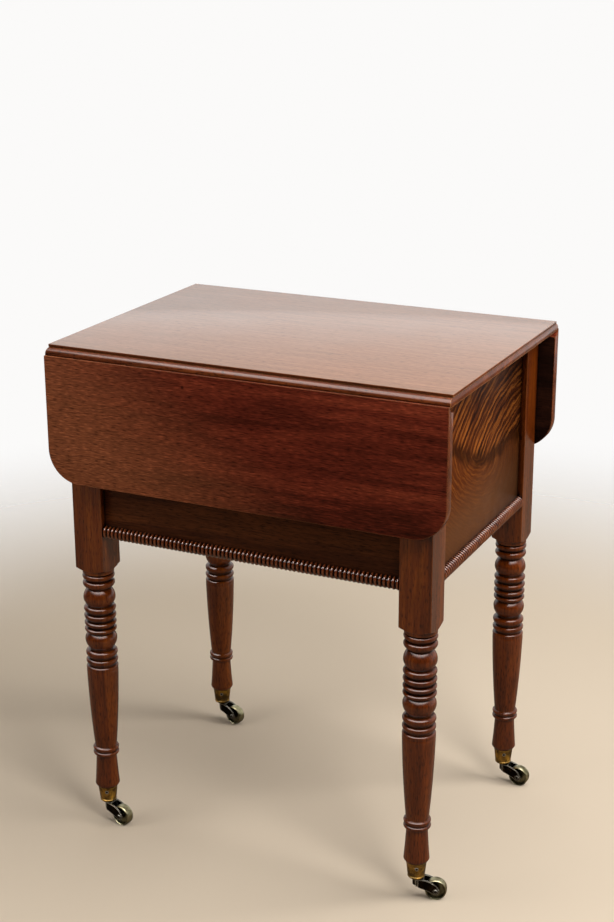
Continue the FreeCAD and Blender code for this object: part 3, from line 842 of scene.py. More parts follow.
@dataclass
class Shell:
    """Points and faces of a mesh, in metres, before it becomes a piece."""

    points: list[Vector] = field(default_factory=list)
    faces: list[tuple[int, ...]] = field(default_factory=list)

    def add(self, other: "Shell", move: Optional[Matrix] = None) -> "Shell":
        """Take in another shell.

        Args:
            other: The shell to copy from.
            move: Where the copy goes.

        Returns:
            This shell.
        """
        first = len(self.points)
        move = move or Matrix.Identity(4)
        self.points.extend(move @ point for point in other.points)
        self.faces.extend(tuple(first + corner for corner in face) for face in other.faces)
        return self

    def mesh(self, name: str) -> bpy.types.Mesh:
        """Turn the shell into a clean mesh.

        Args:
            name: The mesh's name.

        Returns:
            The mesh, its faces turned outwards.
        """
        mesh = bpy.data.meshes.new(name)
        mesh.from_pydata([tuple(point) for point in self.points], [], self.faces)
        shape = bmesh.new()
        shape.from_mesh(mesh)
        bmesh.ops.remove_doubles(shape, verts=shape.verts, dist=WELD * MM)
        bmesh.ops.recalc_face_normals(shape, faces=shape.faces)
        shape.to_mesh(mesh)
        shape.free()
        return mesh


def skin(rows: Sequence[Sequence[Vector]]) -> Shell:
    """Close a skin round a row of rings of points.

    Args:
        rows: Rings with the same number of points each, from end to end.

    Returns:
        A closed shell.
    """
    count = len(rows[0])
    shell = Shell([point for row in rows for point in row])
    for place in range(len(rows) - 1):
        first = place * count
        for step in range(count):
            after = (step + 1) % count
            shell.faces.append((
                first + step, first + after, first + count + after, first + count + step,
            ))
    last = (len(rows) - 1) * count
    shell.faces.append(tuple(range(count)))
    shell.faces.append(tuple(last + step for step in range(count)))
    return shell


def lathe(rims: Sequence[Rim], flats: int = 64) -> Shell:
    """Turn a shape round Z.

    Args:
        rims: Heights and radii in millimetres, from end to end.
        flats: How many sides stand for the round.

    Returns:
        A closed shell in metres.
    """
    angles = [2 * math.pi * step / flats for step in range(flats)]
    rows = []
    for height, radius in rims:
        reach = max(radius, LEAST_RADIUS) * MM
        rows.append([
            Vector((reach * math.cos(a), reach * math.sin(a), height * MM)) for a in angles
        ])
    return skin(rows)


def plate(outline: Sequence[Rim], near: float, far: float) -> Shell:
    """A flat bar with an outline in X and Z.

    Args:
        outline: Corners in order, in millimetres.
        near: Its lower Y in millimetres.
        far: Its upper Y in millimetres.

    Returns:
        A closed shell in metres.
    """
    return skin([
        [Vector((x * MM, y * MM, z * MM)) for x, z in outline] for y in (near, far)
    ])


def ease_edges(mesh: bpy.types.Mesh, width: float, rounds: int = 2) -> None:
    """Round every outward edge of a mesh, as sandpaper and use do.

    Args:
        mesh: The mesh to change.
        width: Width of the rounding in millimetres.
        rounds: How many facets stand for it.
    """
    shape = bmesh.new()
    shape.from_mesh(mesh)
    bmesh.ops.remove_doubles(shape, verts=shape.verts, dist=NODE_WELD * MM)
    bmesh.ops.dissolve_limit(
        shape, angle_limit=math.radians(SAME_FACE), verts=shape.verts, edges=shape.edges,
    )
    keen = [
        edge for edge in shape.edges
        if len(edge.link_faces) == 2 and edge.is_convex
        and edge.calc_face_angle() > math.radians(KEEN_EDGE)
    ]
    bmesh.ops.bevel(
        shape, geom=keen, offset=width * MM, segments=rounds, profile=0.5,
        affect="EDGES", clamp_overlap=True,
    )
    bmesh.ops.recalc_face_normals(shape, faces=shape.faces)
    shape.to_mesh(mesh)
    shape.free()


def middle_of(node: str) -> Vector:
    """Find the middle of a node's box.

    Args:
        node: The frame's node.

    Returns:
        The point, in metres.
    """
    low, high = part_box(node)
    return (low + high) / 2


def set_in_scene(name: str, data: bpy.types.ID) -> bpy.types.Object:
    """Make an object of a mesh, a lamp or a camera, and link it into the scene.

    Args:
        name: The object's name.
        data: What it is made of.

    Returns:
        The new object.
    """
    made = bpy.data.objects.new(name, data)
    bpy.context.scene.collection.objects.link(made)
    return made


@dataclass
class Workshop:
    """Sets finished pieces on the frame's bodies."""

    finish: dict[str, bpy.types.Material]
    crease: float = 34.0          # degrees beyond which an edge is not shaded smooth

    def fit(
        self, name: str, mesh: bpy.types.Mesh, finish: str, body: str,
        stands_for: Iterable[str] = (),
    ) -> bpy.types.Object:
        """Make a mesh a piece of the table.

        Args:
            name: The piece's name.
            mesh: Its mesh, in the table's frame.
            finish: The finish it takes.
            body: The body it moves with.
            stands_for: Nodes of the frame that it replaces.

        Returns:
            The new piece.
        """
        mesh.materials.clear()
        mesh.materials.append(self.finish[finish])
        mesh.shade_smooth()
        mesh.set_sharp_from_angle(angle=math.radians(self.crease))
        piece = set_in_scene(name, mesh)
        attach(piece, body)
        nodes = tuple(stands_for)
        if nodes:
            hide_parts(*nodes)
        LOG.info("%s rides on %s, %d faces", name, body, len(mesh.polygons))
        return piece

    def ease(
        self, node: str, finish: str, body: str, width: float
    ) -> bpy.types.Object:
        """Replace a node by a copy of it with rounded edges.

        Args:
            node: The frame's node.
            finish: The finish it takes.
            body: The body it moves with.
            width: Width of the rounding in millimetres.

        Returns:
            The new piece.
        """
        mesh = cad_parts[node].data.copy()
        ease_edges(mesh, width)
        return self.fit(node + "_eased", mesh, finish, body, [node])

    def turn_faces(
        self, piece: bpy.types.Object, finish: str, facing: Vector, least: float,
        above: float = 0.0,
    ) -> None:
        """Give the faces of a piece that look one way another finish.

        Args:
            piece: The piece.
            finish: The finish's name.
            facing: The direction.
            least: The least share of a face's normal along it.
            above: The least height of a face, in metres.
        """
        finishes_on = piece.data.materials
        if self.finish[finish].name not in finishes_on:
            finishes_on.append(self.finish[finish])
        index = finishes_on.find(self.finish[finish].name)
        for face in piece.data.polygons:
            if face.normal.dot(facing) > least and face.center.z > above:
                face.material_index = index

    def dress(self, node: str, slot: str) -> None:
        """Give a node of the frame its finish.

        Args:
            node: The frame's node, which keeps its shape.
            slot: The finish it takes.
        """
        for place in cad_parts[node].material_slots:
            place.material = self.finish[slot]
        LOG.info("%s keeps its shape in %s", node, slot)


@dataclass
class TableTop:
    """The fixed top, with the rule joint's quarter round along both sides."""

    edge: float = 0.7             # width of the rounded edges
    level: float = 0.9            # least share of upwards in the normal of the face painted pale

    def build(self, shop: Workshop) -> None:
        """Build and dress the top.

        Args:
            shop: Where the top is fitted.
        """
        top = shop.ease("top_board", "top_edge", "frame", self.edge)
        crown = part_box("top_board")[1].z - self.edge * MM
        # Upward faces take the pale finish: light-fade and painted reflection.
        shop.turn_faces(top, "top_wood", Vector((0, 0, 1)), self.level, crown)


@dataclass
class DropLeaf:
    """A hanging leaf with its two table hinges."""

    side: str
    edge: float = 1.1             # width of the rounded edges
    inner_share: float = 0.95     # least share of inwards in the normal of an unpolished face
    end_share: float = 0.9        # least share of X in the normal of an end

    def build(self, shop: Workshop) -> None:
        """Build and dress the leaf and its hinges.

        Args:
            shop: Where the pieces are fitted.
        """
        body = "leaf_" + self.side
        leaf = shop.ease(body, "leaf_wood", body, self.edge)
        inwards = 1 if self.side == "front" else -1
        shop.turn_faces(leaf, "leaf_inside", Vector((0, inwards, 0)), self.inner_share)
        for end in (-1, 1):
            shop.turn_faces(leaf, "top_edge", Vector((end, 0, 0)), self.end_share)
        for flaps in ("hinge_top_flaps_", "hinge_leaf_flaps_"):
            shop.dress(flaps + self.side, "hinge_iron")


@dataclass
class Carcase:
    """The frame under the top: aprons, end panel, rails, flies and drawer guides."""

    edge: float = 0.6             # width of the rounded edges

    def build(self, shop: Workshop) -> None:
        """Build and dress the frame's boards.

        Args:
            shop: Where the boards are fitted.
        """
        for side in ("back", "front"):
            shop.ease("side_apron_" + side, "frame_wood", "frame", self.edge)
            for board in ("fly_rail_", "fly_bracket_", "drawer_runner_", "drawer_kicker_"):
                shop.ease(board + side, "lining_wood", "frame", self.edge)
        for rail in ("drawer_bottom_rail", "drawer_top_rail"):
            shop.ease(rail, "frame_wood", "frame", self.edge)
        shop.ease("end_panel_right", "panel_veneer", "frame", self.edge)


@dataclass
class RingMoulding:
    """A half-round moulding turned with rings all along, then split to sit on the frame."""

    node: str
    turn: float                   # degrees about Z, from facing -Y
    pitch: float = 6.15
    depth: float = 4.4            # of the grooves
    bead_share: float = 0.76      # of the pitch, the rest is groove
    bead_steps: int = 12
    round_steps: int = 16
    tuck: float = 0.06            # share that the rings draw in where they meet the frame above
    tuck_power: int = 6           # how close to the frame they do

    def build(self, shop: Workshop) -> None:
        """Build and dress the moulding where its plain node lies.

        Args:
            shop: Where the moulding is fitted.
        """
        low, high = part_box(self.node)
        length = max(high.x - low.x, high.y - low.y) / MM
        radius = (high.z - low.z) / 2 / MM
        facing = Matrix.Rotation(math.radians(self.turn), 4, "Z")
        back = (low + high) / 2 - facing @ Vector((0, -radius / 2 * MM, 0))
        shell = Shell().add(self.rings(length, radius), Matrix.Translation(back) @ facing)
        name = self.node + "_rings"
        shop.fit(name, shell.mesh(name), "moulding_wood", "frame", [self.node])

    def rings(self, length: float, radius: float) -> Shell:
        """The ringed half round along X, its flat back on Y = 0.

        Args:
            length: Length of the moulding in millimetres.
            radius: Radius over the rings in millimetres.

        Returns:
            A closed shell.
        """
        count = round(length / self.pitch)
        width = length / count
        angles = [
            math.pi * (turn / self.round_steps - 0.5) for turn in range(self.round_steps + 1)
        ]
        tucks = [1 - self.tuck * max(0.0, math.sin(a)) ** self.tuck_power for a in angles]
        rows = []
        for step in range(count * self.bead_steps + 1):
            along = step / self.bead_steps
            offset = (2 * (along - math.floor(along)) - 1) / self.bead_share
            crest = math.sqrt(max(0.0, 1 - offset * offset))
            reach = (radius - self.depth * (1 - crest)) * MM
            x = (along * width - length / 2) * MM
            rows.append([
                Vector((x, -reach * tuck * math.cos(a), reach * tuck * math.sin(a)))
                for a, tuck in zip(angles, tucks)
            ])
        return skin(rows)


class Turning(Enum):
    """Shapes that the turner's gouge leaves between two heights."""

    TAPER = "taper"
    BEAD = "bead"
    BULB = "bulb"


@dataclass(frozen=True)
class Member:
    """One member of a turned leg, from the last member's end down to its own."""

    form: Turning
    height: float
    crest: float
    end: float
    steps: int = 14
    lean: float = 0.5             # place of the crest, as a share of the member's height
    quirk: float = 0.20           # share of a bead's half height that its groove takes
    fullness: float = 0.8         # power of a bulb's curve, lower for a fuller one

    def rims(self, start: Rim) -> list[Rim]:
        """Heights and radii down this member.

        Args:
            start: Height and radius where the last member ended.

        Returns:
            The rims after the start.
        """
        found = []
        for step in range(1, self.steps + 1):
            part = step / self.steps
            if self.form is Turning.BEAD:
                part = (1 - math.cos(math.pi * part)) / 2
            line = start[1] + part * (self.end - start[1])
            offset = (part - self.lean) / (self.lean if part < self.lean else 1 - self.lean)
            if self.form is Turning.BEAD:
                offset = min(1.0, abs(offset) / (1 - self.quirk))
                radius = line + (self.crest - line) * math.sqrt(1 - offset * offset)
            elif self.form is Turning.BULB:
                swell = math.cos(offset * math.pi / 2) ** self.fullness
                radius = line + (self.crest - line) * swell
            else:
                middle = (start[1] + self.end) / 2
                radius = line + 4 * part * (1 - part) * (self.crest - middle)
            found.append((start[0] + part * (self.height - start[0]), radius))
        return found


@dataclass
class TurnedLeg:
    """A leg turned from square mahogany, left square where the frame joins it."""

    corner: str
    block_bottom: float = 402.0
    shoulder: float = 5.5         # height over which the square runs into the round
    shoulder_steps: int = 10
    edge: float = 0.8             # width of the block's eased corners
    side_steps: int = 18
    spigot: Rim = (12.8, 10.8)    # radii of the tapered end in the caster's cup
    members: tuple[Member, ...] = (
        Member(Turning.TAPER, 392.2, 22.0, 22.0, 2),
        Member(Turning.TAPER, 391.2, 20.6, 19.2, 2),
        Member(Turning.BEAD, 381.2, 22.5, 17.8, lean=0.42),
        Member(Turning.BEAD, 368.0, 22.5, 15.8, 20, lean=0.38),
        Member(Turning.BULB, 342.5, 22.5, 17.4, 22, lean=0.57),
        Member(Turning.BEAD, 330.5, 22.5, 17.4, lean=0.40),
        Member(Turning.BEAD, 319.5, 22.5, 17.4, lean=0.34),
        Member(Turning.BEAD, 309.5, 22.5, 17.4, lean=0.33),
        Member(Turning.BEAD, 300.5, 22.5, 17.6, lean=0.34),
        Member(Turning.BULB, 276.2, 22.5, 15.8, 22, lean=0.39),
        Member(Turning.BEAD, 262.5, 22.5, 17.8, 18, lean=0.46),
        Member(Turning.BEAD, 251.5, 22.5, 18.4, lean=0.38),
        Member(Turning.BEAD, 243.4, 22.5, 22.4, 12),
        Member(Turning.TAPER, 122.4, 20.0, 15.5, 24),
        Member(Turning.BEAD, 114.6, 18.5, 16.0, lean=0.42),
        Member(Turning.BEAD, 106.8, 18.5, 14.5, lean=0.42),
        Member(Turning.TAPER, 61.0, 15.8, 17.6, 16),
        Member(Turning.TAPER, 56.5, 16.4, 14.2, 4),
    )

    def build(self, shop: Workshop) -> None:
        """Build and dress the leg where its node stands.

        Args:
            shop: Where the leg is fitted.
        """
        node = "leg_" + self.corner
        low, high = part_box(node)
        half = (high.x - low.x) / 2 / MM
        axis = Matrix.Translation(((low.x + high.x) / 2, (low.y + high.y) / 2, 0))
        shell = Shell().add(self.post(half, high.z / MM, low.z / MM), axis)
        name = node + "_turned"
        shop.fit(name, shell.mesh(name), "leg_wood", "frame", [node])

    def post(self, half: float, top: float, foot: float) -> Shell:
        """The leg round Z.

        Args:
            half: Half the width of the square block in millimetres.
            top: Height of the leg's top in millimetres.
            foot: Height of the spigot's end, inside the caster's cup.

        Returns:
            A closed shell.
        """
        whole = 2 * half
        corner = half * math.sqrt(2)
        rims: list[Rim] = [(top, whole), (self.block_bottom, whole)]
        for step in range(self.shoulder_steps + 1):
            part = step / self.shoulder_steps
            rims.append((
                self.block_bottom - part * self.shoulder,
                corner + part * (self.members[0].end - corner),
            ))
        for member in self.members:
            rims.extend(member.rims(rims[-1]))
        rims.append((rims[-1][0], self.spigot[0]))
        rims.append((foot, self.spigot[1]))
        angles = self.angles(half)
        return skin([
            [self.rim_point(height, radius, half, angle) for angle in angles]
            for height, radius in rims
        ])

    def angles(self, half: float) -> list[float]:
        """Directions of the points round a ring, with two at each eased corner.

        Args:
            half: Half the width of the square block in millimetres.

        Returns:
            Angles in radians, in order.
        """
        reach = math.atan2(half - self.edge, half)
        found = []
        for quarter in range(4):
            for step in range(self.side_steps + 1):
                found.append(quarter * math.pi / 2 - reach + 2 * reach * step / self.side_steps)
        return found

    def rim_point(self, height: float, radius: float, half: float, angle: float) -> Vector:
        """A point of the leg, on the square or on the turning, whichever is smaller.

        Args:
            height: Height in millimetres.
            radius: Radius of the turning in millimetres.
            half: Half the width of the square in millimetres.
            angle: Direction in radians.

        Returns:
            The point in metres.
        """
        square = half / max(abs(math.cos(angle)), abs(math.sin(angle)))
        reach = min(radius, square) * MM
        return Vector((reach * math.cos(angle), reach * math.sin(angle), height * MM))


@dataclass
class EndDrawer:
    """The drawer in the left end: dovetailed boards and two turned knobs."""

    edge: float = 0.5             # width of the rounded edges
    knob_radius: float = 15.0
    knob_flats: int = 48
    shank_radius: float = 5.0
    # Outwards from the drawer front: place and radius, as shares of projection and radius
    knob_rims: tuple[Rim, ...] = (
        (0.0, 0.62), (0.05, 0.63), (0.10, 0.57), (0.20, 0.45), (0.30, 0.46), (0.40, 0.62),
        (0.47, 0.84), (0.52, 0.95), (0.58, 1.0), (0.66, 0.99), (0.74, 0.93), (0.82, 0.82),
        (0.90, 0.65), (0.96, 0.42), (0.99, 0.20), (1.0, 0.0),
    )

    def build(self, shop: Workshop) -> None:
        """Build and dress the drawer.

        Args:
            shop: Where the pieces are fitted.
        """
        shop.ease("drawer_front", "panel_veneer", "drawer", self.edge)
        for board in ("drawer_side_back", "drawer_side_front", "drawer_back", "drawer_bottom"):
            shop.ease(board, "lining_wood", "drawer", self.edge)
        self.knobs(shop)

    def knobs(self, shop: Workshop) -> None:
        """Turn the two knobs where their node is.

        Args:
            shop: Where the knobs are fitted.
        """
        low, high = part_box("drawer_knobs")
        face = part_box("drawer_front")[0].x
        projection = (face - low.x) / MM
        rims = [((face - high.x) / MM, self.shank_radius), (0.0, self.shank_radius)]
        rims += [(out * projection, size * self.knob_radius) for out, size in self.knob_rims]
        knob = lathe(rims, self.knob_flats)
        outwards = Matrix.Rotation(-math.pi / 2, 4, "Y")
        reach = (high.y - low.y) / 2 - self.knob_radius * MM
        shell = Shell()
        for side in (-1, 1):
            place = Vector((face, (low.y + high.y) / 2 + side * reach, (low.z + high.z) / 2))
            shell.add(knob, Matrix.Translation(place) @ outwards)
        shop.fit(
            "drawer_knobs_turned", shell.mesh("knobs"), "knob_wood", "drawer", ["drawer_knobs"],
        )


def bend(first: Rim, pull: Rim, end: Rim, steps: int) -> list[Rim]:
    """Points of a smooth curve that a third point pulls out of line.

    Args:
        first: Where the curve starts.
        pull: The point that pulls it.
        end: Where it ends.
        steps: How many parts stand for it.

    Returns:
        The points, both ends included.
    """
    parts = [step / steps for step in range(steps + 1)]
    return [
        tuple(
            (1 - part) ** 2 * a + 2 * part * (1 - part) * b + part ** 2 * c
            for a, b, c in zip(first, pull, end)
        )
        for part in parts
    ]


@dataclass
class Caster:
    """A brass caster: cup on the foot, swivelling horn and wheel."""

    corner: str
    trail: float = 27.0           # from the swivel's axis to the axle
    hub_height: float = 15.0
    horn_top: float = 31.7
    root_bottom: float = 19.0
    stem_end: float = 36.8
    stem_radius: float = 2.9
    cheek_start: float = 3.0
    cheek_inside: float = 6.4
    cheek_outside: float = 8.9
    cheek_drop: float = 0.5       # of the cheeks below the horn's top
    crown_pull: Rim = (25.0, 30.5)      # bends the upper edge of a cheek
    crown_steps: int = 10
    belly_pull: Rim = (15.0, 15.5)      # bends its lower edge
    belly_steps: int = 8
    eye: float = 5.4              # radius of a cheek's end round the axle
    eye_degrees: range = range(35, -106, -14)      # round it, from crown to belly
    web_end: float = 10.5
    web_drop: float = 0.6         # of the web below the horn's top
    web_overlap: float = 0.4      # of the web into the cheeks
    axle_half: float = 6.6
    axle_radius: float = 1.9
    edge: float = 0.7             # width of the rounded edges
    small_flats: int = 24
    wheel_flats: int = 56
    screw_angle: float = -66.0    # degrees about Z
    screw_height: float = 17.5
    screw_reach: float = 13.2     # from the cup's axis
    screw_radius: float = 2.7
    wall_lean: Rim = (2.6, 24.5)  # out and up the cup's wall
    # Heights over the cup's wall, and shares of the head's radius
    screw_rims: tuple[Rim, ...] = ((-1.2, 1.0), (0.25, 1.0), (0.45, 0.9), (0.3, 0.7), (0.15, 0.0))
    rivet_rims: tuple[Rim, ...] = ((0.0, 2.9), (0.5, 2.8), (0.9, 2.2), (1.1, 1.2), (1.15, 0.0))
    # Heights from the horn's top: a flange under the cup and its neck
    boss_rims: tuple[Rim, ...] = ((0.0, 7.6), (-0.5, 8.2), (-1.6, 8.0), (-2.2, 6.0), (-3.2, 5.0))
    # Heights from the root's bottom
    root_rims: tuple[Rim, ...] = ((1.0, 4.8), (0.0, 3.8))
    # Heights above the cup's bottom: a bead at the foot of the wall, a lip at its mouth
    cup_rims: tuple[Rim, ...] = (
        (0.0, 3.2), (0.0, 10.0), (0.3, 10.9), (1.1, 11.6), (2.2, 11.9), (3.1, 11.8),
        (3.7, 11.2), (4.2, 11.1), (4.7, 11.7), (7.0, 12.1), (11.0, 12.55), (15.0, 13.0),
        (19.0, 13.4), (21.8, 13.7), (22.5, 14.1), (23.4, 14.3), (24.2, 14.2), (24.5, 13.8),
        (24.5, 12.9), (16.0, 12.0), (4.0, 10.75), (2.5, 10.6), (2.5, 3.2),
    )
    # Radii and half widths: hub, deep hollow and rounded tread
    wheel_rims: tuple[Rim, ...] = (
        (0.0, 3.4), (4.2, 3.4), (4.8, 3.2), (5.1, 2.4), (5.4, 1.4), (12.2, 1.4), (12.7, 2.4),
        (13.0, 4.4), (13.2, 5.5), (13.6, 6.0), (14.1, 5.9), (14.6, 5.3), (14.9, 4.2), (15.0, 2.6),
    )

    def build(self, shop: Workshop) -> None:
        """Build and dress the horn and the wheel of this corner.

        Args:
            shop: Where the pieces are fitted.
        """
        axis = middle_of("leg_" + self.corner)
        out = middle_of("caster_wheel_" + self.corner) - axis
        place = Matrix.Translation((axis.x, axis.y, 0)) @ Matrix.Rotation(
            math.atan2(out.y, out.x), 4, "Z"
        )
        self.horn(shop, place)
        self.wheel(shop, place)

    def hub(self, aside: float = 0.0) -> Matrix:
        """Place on the axle's line, so many millimetres aside of the trail."""
        return Matrix.Translation((self.trail * MM, aside * MM, self.hub_height * MM))

    def cup(self) -> Shell:
        """The cup round Z, with its bottom at the origin.

        Returns:
            A closed shell.
        """
        return lathe(self.cup_rims)

    def screw(self) -> Shell:
        """The head of the screw that holds the cup, sunk in the cup's wall.

        Returns:
            A closed shell in the cup's place.
        """
        lean = math.atan2(*self.wall_lean)
        head = lathe(
            [(height, share * self.screw_radius) for height, share in self.screw_rims],
            self.small_flats,
        )
        outwards = (
            Matrix.Rotation(math.radians(self.screw_angle), 4, "Z")
            @ Matrix.Translation((self.screw_reach * MM, 0, self.screw_height * MM))
            @ Matrix.Rotation(math.pi / 2 + lean, 4, "Y")
        )
        return Shell().add(head, outwards)

    def cheek_outline(self) -> list[Rim]:
        """Side of the horn's cheek: arched above, narrowing to an eye round the axle.

        Returns:
            Corners in X and Z, in millimetres.
        """
        round_eye = [
            (
                self.trail + self.eye * math.cos(math.radians(angle)),
                self.hub_height + self.eye * math.sin(math.radians(angle)),
            )
            for angle in self.eye_degrees
        ]
        above = (self.cheek_start, self.horn_top - self.cheek_drop)
        below = (self.cheek_start, self.root_bottom)
        crown = bend(above, self.crown_pull, round_eye[0], self.crown_steps)
        belly = bend(round_eye[-1], self.belly_pull, below, self.belly_steps)
        return crown + round_eye[1:] + belly[1:]

    def horn(self, shop: Workshop, place: Matrix) -> None:
        """Build the fork: a boss under the cup, its web, two cheeks, their rivets and the axle.

        Args:
            shop: Where the horn is fitted.
            place: The swivel's axis, turned to the caster's trail.
        """
        top, low = self.horn_top, self.root_bottom
        web_top = top - self.web_drop
        web = [(0.0, low), (0.0, web_top), (self.web_end, web_top), (self.web_end, low)]
        web_half = self.cheek_inside + self.web_overlap
        boss = [(self.stem_end, self.stem_radius), (top, self.stem_radius)]
        boss += [(top + rise, radius) for rise, radius in self.boss_rims]
        boss += [(low + rise, radius) for rise, radius in self.root_rims]
        rivet = lathe(self.rivet_rims, self.small_flats)
        axle = lathe(
            [(end * self.axle_half, self.axle_radius) for end in (-1, 1)], self.small_flats,
        )
        shell = Shell()
        for side in (-1, 1):
            outside = side * self.cheek_outside
            shell.add(plate(self.cheek_outline(), side * self.cheek_inside, outside))
            shell.add(rivet, self.hub(outside) @ Matrix.Rotation(-side * math.pi / 2, 4, "X"))
        shell.add(plate(web, -web_half, web_half))
        shell.add(lathe(boss))
        shell.add(axle, self.hub() @ Matrix.Rotation(math.pi / 2, 4, "X"))
        node = "caster_horn_" + self.corner
        name = node + "_cast"
        mesh = Shell().add(shell, place).mesh(name)
        ease_edges(mesh, self.edge)
        shop.fit(name, mesh, "horn_brass", "swivel_" + self.corner, [node])

    def wheel(self, shop: Workshop, place: Matrix) -> None:
        """Build the wheel: a rounded tread round a deep hollow, with a hub on both faces.

        Args:
            shop: Where the wheel is fitted.
            place: The swivel's axis, turned to the caster's trail.
        """
        half = [(width, radius) for radius, width in self.wheel_rims]
        rims = [(-width, radius) for width, radius in half] + half[::-1]
        across = place @ self.hub() @ Matrix.Rotation(math.pi / 2, 4, "X")
        shell = Shell().add(lathe(rims, self.wheel_flats), across)
        node = "caster_wheel_" + self.corner
        name = node + "_turned"
        shop.fit(name, shell.mesh(name), "wheel_brass", "wheel_" + self.corner, [node])


def build_cups(shop: Workshop, casters: Sequence[Caster]) -> None:
    """Set a cup on every foot as one piece, and a screw in each as another.

    Args:
        shop: Where finished pieces are fitted.
        casters: The casters of all corners.
    """
    cups, screws = Shell(), Shell()
    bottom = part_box("caster_cups")[0].z
    for caster in casters:
        axis = middle_of("leg_" + caster.corner)
        place = Matrix.Translation((axis.x, axis.y, bottom))
        cups.add(caster.cup(), place)
        screws.add(caster.screw(), place)
    shop.fit("caster_cups_cast", cups.mesh("cups"), "cup_brass", "frame", ["caster_cups"])
    shop.fit("caster_cup_screws", screws.mesh("screws"), "horn_brass", "frame")


@dataclass(frozen=True)
class Lamp:
    """A soft studio lamp, its place and size in metres and its power in watts."""

    name: str
    place: Point
    width: float
    height: float
    power: float


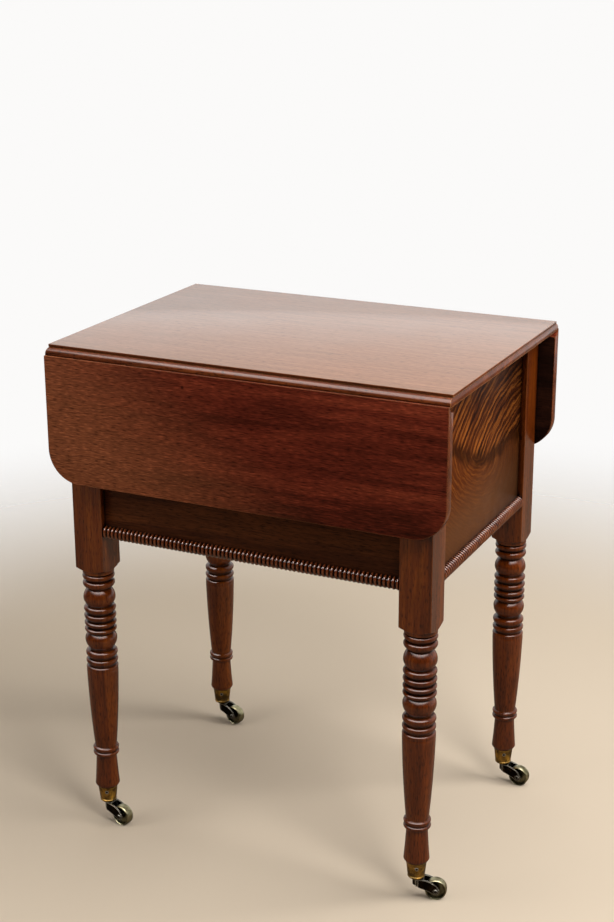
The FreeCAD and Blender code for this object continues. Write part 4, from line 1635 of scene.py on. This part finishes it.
@dataclass
class Studio:
    """Pale floor, white backdrop, soft lamps and the camera, in metres."""

    floor_colour: str = "#E4D2BA"
    floor_bounce: str = "#8A7B69"       # what the floor throws back on the table
    backdrop: str = "#FBFAF9"
    daylight: str = "#F2F0EE"           # what polished surfaces mirror of the wall
    floor_reach: float = 3.2
    fade_from: float = 0.75
    fade_to: float = 1.9
    ambient: float = 0.15               # strength of the light from all round
    room_behind: float = 0.94           # strength of the wall in polished surfaces
    room_before: float = 0.03           # strength of the rest of the room in them
    wall_span: Span = (-0.25, 0.45)     # share of a direction to +Y, from dim room to bright wall
    ceiling: float = 9.0                # strength of the bright ceiling in them
    ceiling_span: Span = (0.52, 0.82)   # share of a direction upwards, from walls to ceiling
    ceiling_back: Span = (0.25, -0.05)  # share to +Y, because it is bright only before the wall
    aim: Point = (0.0, 0.0, 0.45)
    lamps: tuple[Lamp, ...] = (
        Lamp("window_lamp", (1.5, -1.1, 2.35), 0.8, 0.8, 28.0),
        Lamp("right_lamp", (2.2, 0.5, 2.1), 1.6, 1.4, 50.0),
        Lamp("left_lamp", (-1.8, -1.5, 1.1), 1.2, 1.4, 10.0),
        Lamp("top_lamp", (0.0, 0.3, 2.7), 1.6, 1.6, 16.0),
    )
    eye: Point = (0.9767, -2.0524, 1.2937)
    yaw: float = 25.515                 # degrees, as are pitch and roll
    pitch: float = 18.476
    roll: float = -0.182
    focal: float = 1708.27              # in pixels of the photograph
    film: float = 36.0                  # height in millimetres

    def build(self) -> None:
        """Build the stage, the light and the camera."""
        self.floor()
        self.world()
        for lamp in self.lamps:
            self.light(lamp)
        self.camera()
        bpy.context.scene.view_settings.view_transform = "Standard"

    def floor(self) -> None:
        """Lay the floor, which fades into the backdrop."""
        material, tree = start_material("studio_floor_matt")
        place = add_node(tree, "ShaderNodeTexCoord").outputs["Object"]
        reach = add_node(tree, "ShaderNodeVectorMath", {0: place}, operation="LENGTH")
        fade = add_node(tree, "ShaderNodeMapRange", {
            "Value": reach.outputs["Value"], "From Min": self.fade_from, "From Max": self.fade_to,
        }, interpolation_type="SMOOTHSTEP")
        seen = add_node(tree, "ShaderNodeLightPath").outputs["Is Camera Ray"]
        colour = add_node(tree, "ShaderNodeMix", {
            "Factor": seen, "A": linear(self.floor_bounce), "B": linear(self.floor_colour),
        }, data_type="RGBA").outputs["Result"]
        matt = add_node(tree, "ShaderNodeBsdfPrincipled", {
            "Base Color": colour, "Roughness": 0.85, "Specular IOR Level": 0.2,
        })
        clear = add_node(tree, "ShaderNodeBsdfTransparent")
        share = add_node(tree, "ShaderNodeMath", {
            0: fade.outputs["Result"], 1: seen,
        }, operation="MULTIPLY")
        mixed = add_node(tree, "ShaderNodeMixShader", {
            0: share.outputs[0], 1: matt.outputs[0], 2: clear.outputs[0],
        })
        add_node(tree, "ShaderNodeOutputMaterial", {"Surface": mixed.outputs[0]})
        far = self.floor_reach
        mesh = bpy.data.meshes.new("floor")
        mesh.from_pydata(
            [(-far, -far, 0), (far, -far, 0), (far, far, 0), (-far, far, 0)], [], [(0, 1, 2, 3)],
        )
        mesh.materials.append(material)
        floor = set_in_scene("floor", mesh)

    def world(self) -> None:
        """Set the backdrop: white to the camera, wall and ceiling to polished surfaces."""
        world = bpy.data.worlds.new("studio")
        bpy.context.scene.world = world
        world.use_nodes = True
        tree = world.node_tree
        tree.nodes.clear()
        path = add_node(tree, "ShaderNodeLightPath").outputs
        facing = add_node(tree, "ShaderNodeTexCoord").outputs["Generated"]
        parts = add_node(tree, "ShaderNodeSeparateXYZ", {0: facing}).outputs
        room = add_node(tree, "ShaderNodeMapRange", {
            "Value": parts["Y"], "From Min": self.wall_span[0], "From Max": self.wall_span[1],
            "To Min": self.room_before, "To Max": self.room_behind,
        }, interpolation_type="SMOOTHSTEP").outputs["Result"]
        above = add_node(tree, "ShaderNodeMapRange", {
            "Value": parts["Z"],
            "From Min": self.ceiling_span[0], "From Max": self.ceiling_span[1],
            "To Min": 0.0, "To Max": self.ceiling,
        }, interpolation_type="SMOOTHSTEP").outputs["Result"]
        before = add_node(tree, "ShaderNodeMapRange", {
            "Value": parts["Y"],
            "From Min": self.ceiling_back[0], "From Max": self.ceiling_back[1],
        }, interpolation_type="SMOOTHSTEP").outputs["Result"]
        room = add_node(tree, "ShaderNodeMath", {
            0: above, 1: before, 2: room,
        }, operation="MULTIPLY_ADD").outputs[0]
        mirrored = add_node(tree, "ShaderNodeMath", {
            0: path["Is Glossy Ray"], 1: path["Is Transmission Ray"],
        }, operation="MAXIMUM").outputs[0]
        unseen = add_node(tree, "ShaderNodeMix", {
            "Factor": mirrored, "A": self.ambient, "B": room,
        }).outputs["Result"]
        strength = add_node(tree, "ShaderNodeMix", {
            "Factor": path["Is Camera Ray"], "A": unseen, "B": 1.0,
        }).outputs["Result"]
        colour = add_node(tree, "ShaderNodeMix", {
            "Factor": mirrored, "A": linear(self.backdrop), "B": linear(self.daylight),
        }, data_type="RGBA").outputs["Result"]
        backdrop = add_node(tree, "ShaderNodeBackground", {"Color": colour, "Strength": strength})
        add_node(tree, "ShaderNodeOutputWorld", {"Surface": backdrop.outputs[0]})

    def light(self, lamp: Lamp) -> None:
        """Hang one lamp, turned to the table.

        Args:
            lamp: The lamp's place, size and power.
        """
        data = bpy.data.lights.new(lamp.name, "AREA")
        data.shape = "RECTANGLE"
        data.size = lamp.width
        data.size_y = lamp.height
        data.energy = lamp.power
        light = set_in_scene(lamp.name, data)
        light.location = lamp.place
        light.visible_glossy = False
        towards = Vector(self.aim) - Vector(lamp.place)
        light.rotation_euler = towards.to_track_quat("-Z", "Y").to_euler()

    def camera(self) -> None:
        """Stand the camera where the photograph was taken."""
        data = bpy.data.cameras.new("camera")
        data.sensor_fit = "VERTICAL"
        data.sensor_height = self.film
        data.lens = self.focal * self.film / PHOTO_HEIGHT
        camera = set_in_scene("camera", data)
        turn = (
            Matrix.Rotation(math.radians(self.yaw), 4, "Z")
            @ Matrix.Rotation(math.radians(90 - self.pitch), 4, "X")
            @ Matrix.Rotation(math.radians(self.roll), 4, "Z")
        )
        camera.matrix_world = Matrix.Translation(self.eye) @ turn
        bpy.context.scene.camera = camera


CORNERS = ("front_left", "front_right", "back_left", "back_right")


def main() -> None:
    """Build the table on its frame, then the studio."""
    logging.basicConfig(level=logging.INFO, format="%(name)s: %(message)s")
    shop = Workshop(finishes())
    TableTop().build(shop)
    for side in ("back", "front"):
        DropLeaf(side).build(shop)
    Carcase().build(shop)
    for quarter, side in enumerate(("front", "right", "back", "left")):
        RingMoulding("moulding_" + side, 90.0 * quarter).build(shop)
    for corner in CORNERS:
        TurnedLeg(corner).build(shop)
    EndDrawer().build(shop)
    casters = [Caster(corner) for corner in CORNERS]
    build_cups(shop, casters)
    for caster in casters:
        caster.build(shop)
    Studio().build()


if __name__ == "__main__":
    main()
